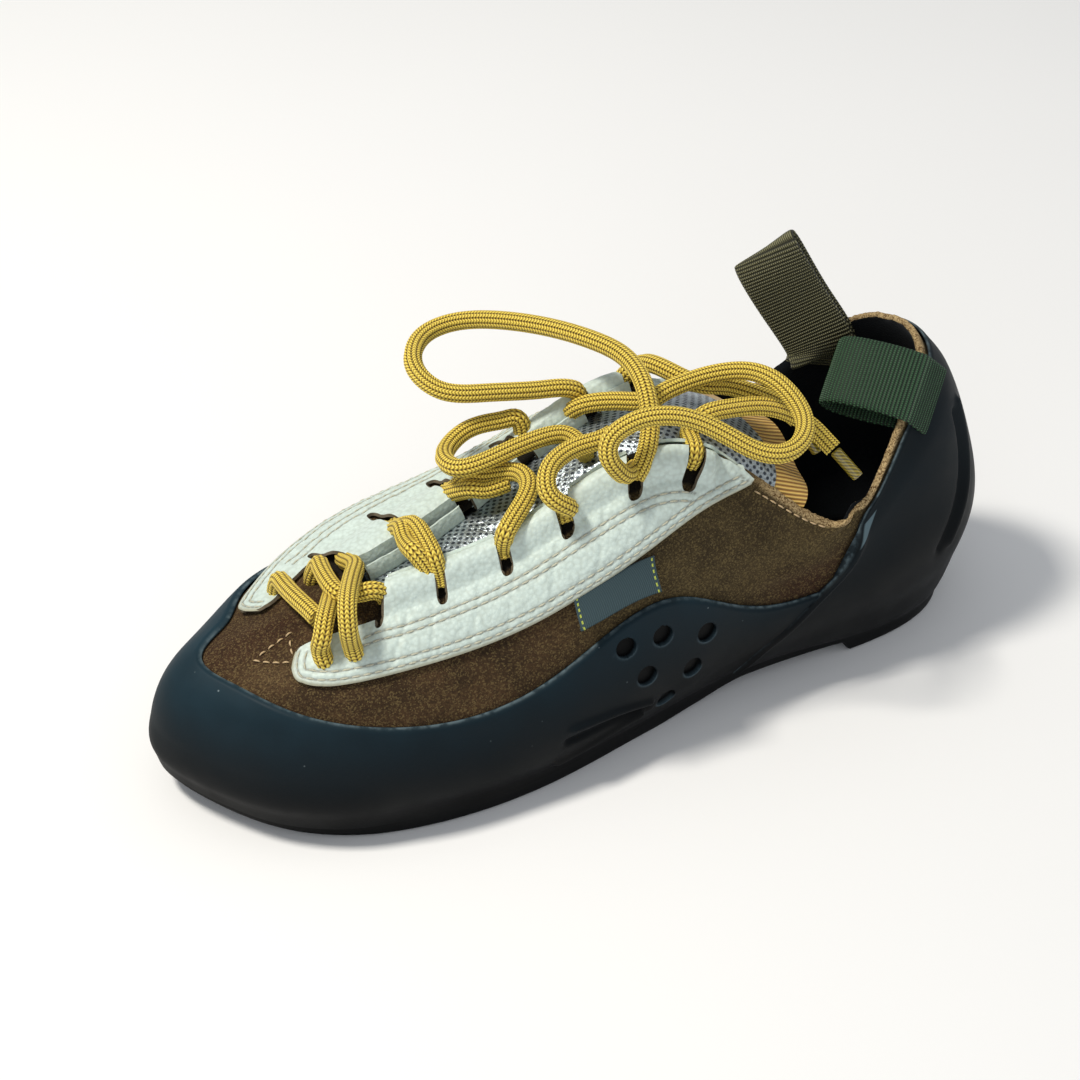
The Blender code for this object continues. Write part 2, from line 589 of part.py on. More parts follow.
def tongue_grid(a):
    """Rows along the foot; each row runs from under one eyestay over the throat to under the other."""
    first = 0.022 + a * (0.330 - 0.022)
    second = 0.984 + a * (0.700 - 0.984)
    under = WALL + TONGUE_GAP
    v = np.array([0.87, 1.0])
    one = skin(first[:, None] * np.ones(2), v[None] * np.ones((len(a), 1)), -under * np.ones((len(a), 2)))
    two = skin(second[:, None] * np.ones(2), v[None] * np.ones((len(a), 1)), -under * np.ones((len(a), 2)))
    span = np.linalg.norm(two[:, 1] - one[:, 1], axis=1)[:, None]
    go = unit(one[:, 1] - one[:, 0]) * span
    come = unit(two[:, 0] - two[:, 1]) * span
    rows = []
    for u in np.linspace(0, 1, 7)[1:-1]:
        rows.append(one[:, 1] * (1 + 2 * u) * (1 - u) ** 2 + go * 0.9 * u * (1 - u) ** 2
                    + two[:, 1] * u * u * (3 - 2 * u) - come * 0.9 * u * u * (1 - u))
    return np.concatenate([one, np.stack(rows, 1), two[:, ::-1]], 1)


def build_tongue(mats):
    end = 0.955
    cut = 0.004
    body = tongue_grid(np.linspace(0, end, 23))
    thick_sheet("tongue", body, TONGUE, mats["tongue"])
    edge = tongue_grid(np.linspace(end + cut, 1.0, 3))
    edge = edge[:, 2:-2]
    thick_sheet("tongue_binding", edge, TONGUE + BINDING_EXTRA, mats["ribbon"])


def build_bottom(mats):
    t = np.linspace(0, 1, 193)[:-1]
    weights = closed_spline(KNOTS, t)
    ring = weights @ SOLE_RING
    plate("outsole", ring, SOLE_EDGE, sole_low, lambda x: sole_low(x) + SOLE_EDGE, sole_top,
          mats["sole_rubber"], 54, 6)
    foot = weights @ LINES[0]
    tangent = unit(np.roll(foot, -1, 0) - np.roll(foot, 1, 0))
    foot[:, :2] -= np.stack([tangent[:, 1], -tangent[:, 0]], 1) * (WALL + 0.0016)
    plate("insole", foot, 0.0, lambda x: sole_top(x) + LAP, lambda x: sole_top(x) + LAP + INSOLE / 2,
          lambda x: sole_top(x) + LAP + INSOLE, mats["insole"], 26, 3)


def tube_mesh(name, path, radius, mat, sides=8):
    """Closed round tube along a path, its ring carried along without twist."""
    forward = unit(np.gradient(path, axis=0))
    side = unit(np.cross(forward[0], [0.3, 0.2, 1.0]))
    angle = np.arange(sides) * 2 * math.pi / sides
    points = []
    for centre, ahead in zip(path, forward):
        side = unit(side - ahead * (side @ ahead))
        up = np.cross(ahead, side)
        points.append(centre + radius * (np.cos(angle)[:, None] * side + np.sin(angle)[:, None] * up))
    count = len(path)
    faces = [tuple(range(sides))[::-1], tuple((count - 1) * sides + k for k in range(sides))]
    for i in range(count - 1):
        for k in range(sides):
            n = (k + 1) % sides
            a = i * sides
            faces.append((a + k, a + n, a + sides + n, a + sides + k))
    return add_object(name, np.concatenate(points), faces, mat)


def cord(name, route, width, step, mat):
    """Cord as a curve with a round section, its points read from the smooth curve through its route."""
    route = np.array(route)
    length = np.linalg.norm(np.diff(route, axis=0), axis=1).sum()
    points = smooth_path(route, max(2, int(round(length / step)) + 1))
    curve = bpy.data.curves.new(name, "CURVE")
    curve.dimensions = "3D"
    curve.bevel_depth = width / 2
    curve.bevel_resolution = 2
    curve.use_fill_caps = True
    spline = curve.splines.new("POLY")
    spline.points.add(len(points) - 1)
    for slot, place in zip(spline.points, points):
        slot.co = (place[0], place[1], place[2], 1.0)
    spline.use_smooth = True
    obj = bpy.data.objects.new(name, curve)
    bpy.context.scene.collection.objects.link(obj)
    curve.materials.append(mat)
    return obj


def build_laces(mats):
    for name, strands in CROSSINGS.items():
        tubes = []
        for i, route in enumerate(strands):
            route = np.array(route)
            length = np.linalg.norm(np.diff(route, axis=0), axis=1).sum()
            path = smooth_path(route, int(round(length / (1.1 * LACE))) + 2)
            label = name if i == 0 else name + "_strand_" + str(i)
            tubes.append(tube_mesh(label, path, LACE / 2, mats["lace"]))
        for extra in tubes[1:]:
            extra.hide_render = True
            extra.display_type = "WIRE"
            join = tubes[0].modifiers.new("join strand", "BOOLEAN")
            join.operation = "UNION"
            join.solver = "EXACT"
            join.object = extra
    for name, route in CORDS.items():
        cord(name, route, LACE, 1.8 * LACE, mats["lace"])
    for name, ends in AGLETS.items():
        tube_mesh(name, np.array(ends), AGLET / 2, mats["aglet"])


def build_loops(mats):
    mid = 0.600
    ends = last(np.array([mid - 0.02, mid + 0.02]), np.array([1.0, 1.0]))
    across = ends[1] - ends[0]
    deep = WALL + 0.0025
    wall = skin(np.full(2, mid), np.array([0.86, 1.0]), -deep * np.ones(2))
    lean = np.array([-0.0168, 0.0086, 0.0318])
    side = -unit(np.cross(unit(across), unit(lean)))
    side *= np.sign(side @ outward(np.array([mid]), np.array([1.0]))[0])
    width = 0.0030
    fold = wall[1] + lean
    path = smooth_path([
        wall[0], wall[1], wall[1] + lean * 0.45 + side * 0.0004, fold - unit(lean) * 0.002,
        fold + unit(lean) * 0.0004 - side * width / 2, fold - unit(lean) * 0.002 - side * width,
        wall[1] + lean * 0.45 - side * width, wall[1] - side * width,
        wall[0] - side * (width - 0.0004) + np.array([0, 0, 0.004])], 34)
    band("pull_loop_inner", path, across, WEBBING_WIDTH, WEBBING, mats["webbing"])
    mid = 0.446
    ends = last(np.array([mid - 0.02, mid + 0.02]), np.array([1.0, 1.0]))
    across = ends[1] - ends[0]
    clear = GAP + HEEL_RAND + 0.0016
    rim = skin(np.full(3, mid), np.array([0.86, 0.94, 1.0]), clear * np.ones(3))
    inside = skin(np.full(2, mid), np.array([0.90, 1.0]), -(WALL + 0.0046) * np.ones(2))
    reach = np.array([-0.0180, 0.0220, 0.0030])
    lift = np.array([0, 0, 0.0024])
    tip = rim[2] + reach
    path = smooth_path([rim[0], rim[1], rim[2] + lift * 0.4, rim[2] + lift * 1.9 + reach * 0.16,
                        rim[2] + lift * 2.6 + reach * 0.5,
                        tip + lift * 0.9 - reach * 0.07, tip - lift * 0.1, tip - lift * 1.3 - reach * 0.08,
                        rim[2] - lift * 0.4 + reach * 0.62, inside[1] + reach * 0.10 - lift * 0.5,
                        inside[0]], 40)
    band("pull_loop_outer", path, across, WEBBING_WIDTH, WEBBING, mats["webbing"])


def main():
    for obj in list(bpy.data.objects):
        bpy.data.objects.remove(obj, do_unlink=True)
    mats = {
        "suede": material("olive suede", "54412a", 0.92),
        "rand": material("rand rubber", "22323d", 0.62),
        "heel_rubber": material("heel rubber", "1b2730", 0.60),
        "sole_rubber": material("sole rubber", "171e22", 0.66),
        "white_leather": material("white leather", "c3cdc6", 0.48),
        "tab": material("woven tab", "3a434b", 0.80),
        "tongue": material("silver mesh", "8b9098", 0.40, 0.35),
        "ribbon": material("gold ribbon", "a3722f", 0.50),
        "webbing": material("green webbing", "36452f", 0.82),
        "insole": material("dark lining", "12161c", 0.92),
        "lace": material("golden lace", "c9a227", 0.75),
        "aglet": material("clear tip", "8a8468", 0.30),
    }
    build_upper(mats)
    build_rands(mats)
    build_bottom(mats)
    build_stays(mats)
    build_tab(mats)
    build_tongue(mats)
    build_loops(mats)
    build_laces(mats)


main()
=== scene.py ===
"""Dressed lace-up climbing shoe for the left foot, standing empty on its sole.

The toe points along -X, the little-toe side is -Y, the floor is z = 0 and every length is in metres.
The upper is a last lofted through five closed lines; place t goes round the foot from the toe tip over
the little-toe side, and share v goes up the section from the sole to the top edge.
Every other sheet of the shoe is a patch of that last, pushed out by its clearance and thickness.
"""
import math
import bpy
import numpy as np
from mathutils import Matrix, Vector


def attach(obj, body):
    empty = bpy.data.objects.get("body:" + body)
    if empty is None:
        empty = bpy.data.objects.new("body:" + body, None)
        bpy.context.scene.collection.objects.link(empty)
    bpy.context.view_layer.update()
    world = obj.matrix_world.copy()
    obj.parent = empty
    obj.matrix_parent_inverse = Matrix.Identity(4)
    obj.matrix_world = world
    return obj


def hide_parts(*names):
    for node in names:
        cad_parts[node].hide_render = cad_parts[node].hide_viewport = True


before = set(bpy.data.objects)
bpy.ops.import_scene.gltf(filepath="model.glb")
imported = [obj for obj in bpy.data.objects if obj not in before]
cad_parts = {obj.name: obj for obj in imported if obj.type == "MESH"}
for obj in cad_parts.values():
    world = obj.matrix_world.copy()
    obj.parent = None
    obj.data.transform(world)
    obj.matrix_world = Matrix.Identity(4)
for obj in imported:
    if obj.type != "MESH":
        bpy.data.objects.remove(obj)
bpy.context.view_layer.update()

# Main sizes in metres
LENGTH = 0.255
WIDTH = 0.092
INSTEP = 0.080
ORIGIN_SHARE = 0.70

# Walls, sheets and clearances in metres
WALL = 0.0020
GAP = 0.0003
LAP = 0.0006
RAND = 0.0016
HEEL_RAND = 0.0021
STAY = 0.0013
STAY_ROLL = 0.0034
TAB_SHEET = 0.0010
TONGUE = 0.0022
TONGUE_GAP = 0.0005
SEAT = 0.0007
BINDING_EXTRA = 0.0007
INSOLE = 0.0016
WEBBING = 0.0015
WEBBING_WIDTH = 0.0205
LACE = 0.0050
AGLET = 0.0034
SOLE_EDGE = 0.0012
FLUSH = 0.0004
HOLE = 0.0062
TAB_LIFT = 0.0052
RIB_PITCH = 0.00105
RIB_RISE = 0.00010

# Rands: lowest and highest share up the section, gap between the two as a place round the foot,
# width of the feathered upper edge, and the range of the lighter slate patch on the heel's front
RAND_START = 0.028
HEEL_START = 0.018
HEEL_TOP = 0.960
RAND_SPLIT = 0.0007
FEATHER = 0.0016
PATCH_UP = (0.55, 0.80)

# Sections round the foot, from the toe tip over the little-toe side to the heel and back.
# wide_ is the widest line and top_ the top edge, as shares of LENGTH, WIDTH and INSTEP.
# foot_in is the inset of the foot edge and sole_out how far the sole passes it, as shares of WIDTH.
# low_ and high_ are shares of the way in and of the way up from the widest line to the top edge.
# rand_v is the upper edge of the toe rand as a share of the way round the section.
SECTION_COLUMNS = (
    "wide_along", "wide_side", "wide_up", "foot_in", "sole_out", "top_along", "top_side", "top_up",
    "low_in", "low_up", "high_in", "high_up", "rand_v")
SECTIONS = (
    # toe tip
    (0.985, 0.020, 0.22, 0.050, 0.050, 0.805, -0.030, 0.66, 0.06, 0.40, 0.36, 0.73, 0.715),
    (0.957, -0.170, 0.21, 0.055, 0.052, 0.797, -0.065, 0.66, 0.07, 0.41, 0.38, 0.75, 0.690),
    # little toe
    (0.885, -0.370, 0.20, 0.060, 0.052, 0.770, -0.095, 0.70, 0.09, 0.40, 0.42, 0.78, 0.600),
    (0.745, -0.490, 0.19, 0.060, 0.055, 0.700, -0.110, 0.76, 0.12, 0.38, 0.50, 0.79, 0.485),
    (0.590, -0.475, 0.19, 0.060, 0.052, 0.560, -0.125, 0.88, 0.13, 0.36, 0.52, 0.79, 0.485),
    (0.450, -0.405, 0.24, 0.070, 0.040, 0.395, -0.170, 1.06, 0.10, 0.34, 0.45, 0.76, 0.530),
    # ankle, outer side
    (0.300, -0.350, 0.30, 0.070, 0.034, 0.235, -0.326, 0.69, 0.02, 0.36, 0.40, 0.75, 0.420),
    (0.150, -0.330, 0.34, 0.072, 0.030, 0.148, -0.255, 0.93, 0.12, 0.35, 0.55, 0.72, 0.360),
    (0.045, -0.235, 0.40, 0.076, 0.026, 0.099, -0.140, 1.10, 0.15, 0.37, 0.55, 0.74, 0.360),
    # heel back
    (0.000, 0.000, 0.42, 0.080, 0.026, 0.080, 0.000, 1.16, 0.15, 0.37, 0.55, 0.74, 0.360),
    (0.045, 0.235, 0.40, 0.076, 0.026, 0.095, 0.150, 1.13, 0.15, 0.37, 0.55, 0.74, 0.360),
    (0.150, 0.325, 0.34, 0.072, 0.032, 0.142, 0.265, 1.00, 0.12, 0.35, 0.55, 0.72, 0.360),
    # ankle, inner side
    (0.300, 0.320, 0.32, 0.070, 0.036, 0.235, 0.316, 0.79, 0.02, 0.40, 0.25, 0.80, 0.420),
    (0.450, 0.330, 0.32, 0.070, 0.040, 0.400, 0.165, 1.06, 0.03, 0.45, 0.28, 0.82, 0.500),
    (0.590, 0.395, 0.22, 0.070, 0.050, 0.560, 0.110, 0.89, 0.04, 0.45, 0.26, 0.84, 0.460),
    (0.745, 0.440, 0.19, 0.060, 0.055, 0.700, 0.015, 0.76, 0.06, 0.42, 0.28, 0.82, 0.500),
    # big toe
    (0.872, 0.328, 0.20, 0.058, 0.052, 0.775, -0.012, 0.70, 0.08, 0.38, 0.34, 0.74, 0.650),
    (0.948, 0.160, 0.21, 0.055, 0.050, 0.797, -0.018, 0.66, 0.07, 0.40, 0.36, 0.73, 0.745),
)
LEVELS = (0.0, 0.22, 0.46, 0.74, 1.0)

# Sole line: place along the foot as a share of LENGTH, underside and upper side as shares of INSTEP
SOLE_LINE = (
    (0.000, 0.060, 0.120),
    (0.030, 0.012, 0.076),
    (0.060, 0.000, 0.066),
    (0.150, 0.000, 0.066),
    (0.186, 0.000, 0.074),
    (0.196, 0.046, 0.078),
    (0.250, 0.058, 0.096),
    (0.330, 0.060, 0.106),
    (0.400, 0.022, 0.086),
    (0.460, 0.000, 0.064),
    (0.620, 0.000, 0.060),
    (0.780, 0.000, 0.060),
    (0.860, 0.014, 0.072),
    (0.930, 0.042, 0.100),
    (1.000, 0.080, 0.138),
)

# Front edge of the heel rand on each side: height share, place round the foot on the outer side
HEEL_FRONT = (
    (0.00, 0.322), (0.12, 0.336), (0.30, 0.357), (0.48, 0.379), (0.62, 0.384), (0.80, 0.380), (1.00, 0.376))
MIRROR = 1.012

# Eyestays: place round the foot, outer edge, inner edge (shares of the way round the section)
STAY_OUTER = (
    (0.066, 0.772, 0.800), (0.068, 0.738, 0.842), (0.074, 0.712, 0.880), (0.088, 0.692, 0.915),
    (0.110, 0.681, 0.955), (0.122, 0.678, 0.985), (0.160, 0.668, 0.985), (0.200, 0.660, 0.985),
    (0.233, 0.656, 0.985), (0.260, 0.676, 0.985), (0.278, 0.732, 0.985), (0.292, 0.822, 0.985),
    (0.302, 0.920, 0.985), (0.305, 0.962, 0.985))
STAY_INNER = (
    (0.958, 0.790, 0.815), (0.956, 0.758, 0.842), (0.949, 0.738, 0.880), (0.932, 0.728, 0.925),
    (0.915, 0.715, 0.955), (0.908, 0.712, 0.985), (0.861, 0.700, 0.985), (0.825, 0.695, 0.985),
    (0.785, 0.690, 0.985), (0.757, 0.700, 0.985), (0.735, 0.735, 0.985), (0.722, 0.850, 0.985),
    (0.714, 0.945, 0.985), (0.712, 0.968, 0.985))
SLOTS_OUTER = (0.1190, 0.1600, 0.1960, 0.2265, 0.2570, 0.2800)
SLOTS_INNER = (0.9040, 0.8610, 0.8250, 0.7900, 0.7575, 0.7345)
SLOT_HALF = 0.0032
SLOT_BOTTOM = 0.875
STAY_TOP = 0.985
# Lean of a strip's tip for each share up, the share that stays in place, and the run of the lean
TIP_LEAN = 0.105
TIP_LEVEL = 0.742
TIP_RUN = 0.036
# Stitch rows of a strip: insets from its outer edge, and drops below its slots
EDGE_ROWS = (0.0015, 0.0036)
SLOT_ROWS = (0.0016, 0.0038)
# Length of the foot's section from the sole to the top edge at the strips, in metres
SECTION_RUN = 0.078
# Cross-section of a rolled lace tab: way up, height where it is rolled and height where it lies flat,
# as shares of the way from the band to the top edge and of STAY_ROLL
ARCH_UP = (0.0, 0.12, 0.28, 0.46, 0.64, 0.82, 0.98, 1.12, 1.22, 1.27, 1.27, 1.24)
ARCH_HIGH = (0.0, 0.16, 0.50, 0.84, 1.04, 1.08, 0.98, 0.74, 0.38, -0.10, -0.66, -1.16)
ARCH_FLAT = (0, 0, 0, 0, 0, 0, -0.02, -0.06, -0.12, -0.20, -0.29, -0.30)

# Tongue: first and last place on each side of the throat, its lowest share, and its columns
TONGUE_OUTER = (0.022, 0.330)
TONGUE_INNER = (0.984, 0.700)
TONGUE_REACH = 0.87
TONGUE_COLUMNS = 56

# Side tab: range round the foot, range up the section, and its weave's flat size, close to millimetres
TAB_RANGE = (0.2255, 0.2665)
TAB_UP = (0.588, 0.664)
TAB_WEAVE = (22.5, 7.0)

# Six round holes in the arch rand: place round the foot, share up the section
HOLES = ((0.251, 0.456), (0.272, 0.438), (0.299, 0.394), (0.263, 0.338), (0.291, 0.275), (0.277, 0.180))

# Pull loops: place round the foot, reach of the fold from the collar, and the gap between the legs
INNER_LOOP = 0.600
INNER_LEAN = (-0.0168, 0.0086, 0.0318)
LOOP_GAP = 0.0030
OUTER_LOOP = 0.446
OUTER_REACH = (-0.0160, 0.0197, 0.0010)
STRAP_ROWS = 620

# Camera as fitted to the photograph: turn towards the toe and height in degrees, distance, the point
# looked at, focal length and frame in pixels, and the sensor's width in millimetres
CAMERA_TURN = -23.1
CAMERA_RISE = 39.75
CAMERA_DISTANCE = 0.6265
CAMERA_TARGET = (0.0467, 0.0129, 0.0400)
FOCAL_PIXELS = 2150
FRAME_PIXELS = 1080
SENSOR = 36

# Lace: route points in metres, x towards the heel, y towards the inner side, z up.
# Short crossings over the throat, in three groups of strands that touch
CROSSINGS = {
    "lace_front": (
        ((-.0329, .0090, .0546), (-.0325, .0045, .0561), (-.0315, -.0040, .0577), (-.0300, -.0105, .0582),
         (-.0292, -.0140, .0582)),
        ((-.0312, -.0215, .0547), (-.0308, -.0222, .0582), (-.0290, -.0195, .0609), (-.0265, -.0145, .0605),
         (-.0240, -.0090, .0587), (-.0215, -.0045, .0577)),
        ((-.0223, .0056, .0594), (-.0226, .0018, .0609), (-.0227, -.0084, .0622), (-.0213, -.0113, .0619),
         (-.0188, -.0121, .0617), (-.0160, -.0132, .0622), (-.0130, -.0140, .0625)),
        ((-.0236, -.0245, .0567), (-.0244, -.0259, .0622), (-.0234, -.0227, .0667), (-.0199, -.0146, .0662),
         (-.0165, -.0075, .0642), (-.0145, -.0025, .0627)),
    ),
    "lace_second": (
        ((.0046, -.0134, .0672), (.0046, -.0115, .0683), (.0043, -.0065, .0696), (.0037, .0005, .0690)),
        ((.0006, .0012, .0680), (-.0002, -.0036, .0682), (-.0002, -.0080, .0685), (.0004, -.0108, .0685)),
    ),
    "lace_third": (
        ((.0240, -.0165, .0722), (.0255, -.0155, .0735), (.0276, -.0140, .0747), (.0329, -.0098, .0770),
         (.0355, -.0051, .0780), (.0342, .0010, .0775), (.0268, .0056, .0755), (.0240, .0075, .0750)),
        ((.0225, .0040, .0730), (.0250, .0025, .0730), (.0284, .0015, .0735), (.0320, .0015, .0740)),
    ),
}
# Loops, hook and ends of the bow
CORDS = {
    "lace_small_loop": (
        (.0415, .0165, .0830), (.0380, .0178, .0828), (.0332, .0195, .0818), (.0269, .0202, .0803),
        (.0204, .0170, .0785), (.0177, .0108, .0792), (.0193, .0058, .0800), (.0250, .0039, .0812),
        (.0342, .0046, .0825), (.0449, .0058, .0830), (.0509, .0045, .0828), (.0529, -.0006, .0825),
        (.0520, -.0060, .0830)),
    "lace_hook": (
        (.0413, -.0198, .0781), (.0380, -.0202, .0812), (.0358, -.0182, .0840), (.0371, -.0145, .0870),
        (.0413, -.0113, .0885), (.0479, -.0097, .0895), (.0546, -.0099, .0900), (.0587, -.0087, .0900)),
    "lace_left_loop": (
        (.0590, .0150, .0880), (.0556, .0153, .0903), (.0475, .0170, .0908), (.0342, .0198, .0918),
        (.0225, .0246, .0925), (.0180, .0325, .0950), (.0191, .0384, .0970), (.0245, .0439, .0985),
        (.0338, .0445, .1000), (.0448, .0385, .1015), (.0563, .0269, .1030), (.0644, .0157, .1035),
        (.0687, .0078, .1030), (.0700, .0000, .1020), (.0695, -.0065, .1000), (.0684, -.0118, .0958),
        (.0664, -.0158, .0908), (.0634, -.0188, .0862), (.0603, -.0204, .0830)),
    "lace_right_loop": (
        (.0574, -.0212, .0855), (.0540, -.0222, .0890), (.0520, -.0212, .0930), (.0533, -.0194, .0970),
        (.0578, -.0190, .1000), (.0639, -.0202, .1020), (.0723, -.0230, .1015), (.0787, -.0264, .0990),
        (.0839, -.0301, .0960), (.0891, -.0337, .0930), (.0949, -.0360, .0915), (.1008, -.0351, .0915),
        (.1057, -.0309, .0925), (.1080, -.0242, .0940), (.1070, -.0175, .0965), (.1046, -.0121, .0980),
        (.1003, -.0067, .0980), (.0931, -.0029, .0968), (.0859, -.0009, .0950), (.0777, -.0008, .0932),
        (.0735, -.0008, .0918), (.0690, .0025, .0905), (.0650, .0058, .0895), (.0606, .0090, .0880),
        (.0576, .0112, .0860), (.0560, .0130, .0834)),
    "lace_long_end": (
        (.0808, -.0115, .0860), (.0822, -.0124, .0895), (.0848, -.0130, .0920), (.0910, -.0130, .0920),
        (.1000, -.0131, .0905), (.1069, -.0139, .0880), (.1118, -.0151, .0850), (.1158, -.0175, .0820),
        (.1184, -.0208, .0790), (.1200, -.0236, .0770)),
    "lace_short_end": (
        (.0795, .0188, .0893), (.0815, .0140, .0922), (.0842, .0077, .0928), (.0897, .0012, .0915),
        (.0968, -.0005, .0900), (.1026, -.0035, .0885), (.1083, -.0066, .0860), (.1129, -.0082, .0825),
        (.1155, -.0105, .0795)),
}
AGLETS = {
    "aglet_long": ((.1203, -.0240, .0766), (.1243, -.0312, .0712)),
    "aglet_short": ((.1157, -.0114, .0788), (.1190, -.0174, .0718)),
}


def closed_spline(knots, at):
    """Weights of the periodic cubic spline through values at these knots on a loop of length 1."""
    count = len(knots)
    step = np.diff(np.append(knots, knots[0] + 1.0))
    left = np.zeros((count, count))
    right = np.zeros((count, count))
    for i in range(count):
        before, after = (i - 1) % count, (i + 1) % count
        left[i, before] += step[i - 1]
        left[i, i] += 2 * (step[i - 1] + step[i])
        left[i, after] += step[i]
        right[i, after] += 6 / step[i]
        right[i, i] -= 6 / step[i] + 6 / step[i - 1]
        right[i, before] += 6 / step[i - 1]
    bend = np.linalg.solve(left, right)
    place = np.mod(np.asarray(at, float) - knots[0], 1.0) + knots[0]
    i = np.clip(np.searchsorted(knots, place, side="right") - 1, 0, count - 1)
    j = (i + 1) % count
    return spline_rows(place - knots[i], step[i], i, j, bend, count)


def open_spline(knots, at):
    """Weights of the natural cubic spline through values at these knots."""
    knots = np.asarray(knots, float)
    count = len(knots)
    step = np.diff(knots)
    left = np.eye(count)
    right = np.zeros((count, count))
    for i in range(1, count - 1):
        left[i, i - 1:i + 2] = step[i - 1], 2 * (step[i - 1] + step[i]), step[i]
        right[i, i - 1:i + 2] = 6 / step[i - 1], -6 / step[i] - 6 / step[i - 1], 6 / step[i]
    bend = np.linalg.solve(left, right)
    place = np.asarray(at, float)
    i = np.clip(np.searchsorted(knots, place, side="right") - 1, 0, count - 2)
    return spline_rows(place - knots[i], step[i], i, i + 1, bend, count)


def spline_rows(a, h, i, j, bend, count):
    """Cubic weights: linear part plus (b^3/h - h b)/6 and (a^3/h - h a)/6 times the bends."""
    b = h - a
    rows = np.zeros((len(a), count))
    index = np.arange(len(a))
    rows[index, i] += b / h
    rows[index, j] += a / h
    rows += ((b ** 3 / h - h * b) / 6)[:, None] * bend[i]
    rows += ((a ** 3 / h - h * a) / 6)[:, None] * bend[j]
    return rows


def monotone(xs, ys, at):
    """Smooth curve through the points that never overshoots them."""
    xs, ys, at = np.asarray(xs, float), np.asarray(ys, float), np.asarray(at, float)
    h = np.diff(xs)
    d = np.diff(ys) / h
    m = np.concatenate([[d[0]], (d[:-1] + d[1:]) / 2, [d[-1]]])
    m[1:-1] = np.where(d[:-1] * d[1:] <= 0, 0, np.sign(d[1:]) * np.minimum(
        np.abs(m[1:-1]), 2.5 * np.minimum(np.abs(d[:-1]), np.abs(d[1:]))))
    i = np.clip(np.searchsorted(xs, at, side="right") - 1, 0, len(h) - 1)
    u = np.clip((at - xs[i]) / h[i], 0, 1)
    return (ys[i] * (1 + 2 * u) * (1 - u) ** 2 + h[i] * m[i] * u * (1 - u) ** 2
            + ys[i + 1] * u * u * (3 - 2 * u) - h[i] * m[i + 1] * u * u * (1 - u))


def sole_low(x):
    """Height of the sole's underside, from its line along the foot."""
    rows = np.array(SOLE_LINE)
    return INSTEP * monotone(rows[:, 0], rows[:, 1], ORIGIN_SHARE - x / LENGTH)


def sole_top(x):
    """Height of the sole's upper side, from its line along the foot."""
    rows = np.array(SOLE_LINE)
    return INSTEP * monotone(rows[:, 0], rows[:, 2], ORIGIN_SHARE - x / LENGTH)


def level_lines():
    """The five closed lines of the last as arrays of points, and the knots round the loop."""
    table = np.array(SECTIONS)
    col = {name: table[:, i] for i, name in enumerate(SECTION_COLUMNS)}
    wide = np.stack([LENGTH * (ORIGIN_SHARE - col["wide_along"]), WIDTH * col["wide_side"],
                     INSTEP * col["wide_up"]], 1)
    top = np.stack([LENGTH * (ORIGIN_SHARE - col["top_along"]), WIDTH * col["top_side"],
                    INSTEP * col["top_up"]], 1)
    along = (np.roll(wide, -1, 0) - np.roll(wide, 1, 0))[:, :2]
    along /= np.linalg.norm(along, axis=1)[:, None]
    out = np.stack([along[:, 1], -along[:, 0]], 1)
    foot = wide.copy()
    foot[:, :2] -= out * (WIDTH * col["foot_in"])[:, None]
    foot[:, 2] = sole_top(foot[:, 0]) + SEAT
    sole = foot.copy()
    sole[:, :2] += out * (WIDTH * col["sole_out"])[:, None]
    lines = [foot, wide]
    for name in ("low", "high"):
        line = wide.copy()
        line[:, :2] += (top - wide)[:, :2] * col[name + "_in"][:, None]
        line[:, 2] += (top - wide)[:, 2] * col[name + "_up"]
        lines.append(line)
    lines.append(top)
    chord = np.linalg.norm(np.roll(wide, -1, 0) - wide, axis=1)
    knots = np.concatenate([[0.0], np.cumsum(chord)[:-1]]) / chord.sum()
    return lines, sole, knots, col["rand_v"]


LINES, SOLE_RING, KNOTS, RAND_V = level_lines()


def last(t, v):
    """Point of the last at place t round the foot and share v up the section."""
    t, v = np.broadcast_arrays(np.asarray(t, float), np.asarray(v, float))
    round_foot = closed_spline(KNOTS, t.ravel())
    up = open_spline(LEVELS, v.ravel())
    point = sum(up[:, k:k + 1] * (round_foot @ LINES[k]) for k in range(5))
    return point.reshape(t.shape + (3,))


def unit(a):
    """Vectors divided by their length."""
    return a / np.maximum(np.linalg.norm(a, axis=-1, keepdims=True), 1e-12)


def outward(t, v):
    """Unit normal of the last, pointing out of the foot."""
    e = 1e-3
    v = np.asarray(v, float)
    dt = last(t + e, v) - last(t - e, v)
    dv = last(t, np.minimum(v + e, 1.0)) - last(t, np.maximum(v - e, 0.0))
    return unit(np.cross(dt, dv))


def skin(t, v, off):
    """Last surface pushed out by off."""
    return last(t, v) + outward(t, v) * np.asarray(off)[..., None]


def ramp(x, low, high):
    """Smooth step from 0 at low to 1 at high: 3 u^2 - 2 u^3 of the share u of the way."""
    u = np.clip((np.asarray(x, float) - low) / (high - low), 0, 1)
    return u * u * (3 - 2 * u)


def run_along(path):
    """Distance run along a path, at each of its points."""
    return np.concatenate([[0], np.linalg.norm(np.diff(path, axis=0), axis=1).cumsum()])


def smooth_path(points, count):
    """Evenly spaced points on the cubic through the given points."""
    points = np.asarray(points, float)
    chord = np.sqrt(np.linalg.norm(np.diff(points, axis=0), axis=1))
    chord = np.concatenate([[0], chord.cumsum()])
    fine = open_spline(chord, np.linspace(0, chord[-1], 40 * len(points))) @ points
    length = run_along(fine)
    even = np.linspace(0, length[-1], count)
    return np.stack([np.interp(even, length, fine[:, k]) for k in range(3)], 1)


def bell(x, spread, middle=0.0):
    """1 at the middle, falling as exp(-(distance over spread) squared)."""
    return np.exp(-((x - middle) / spread) ** 2)


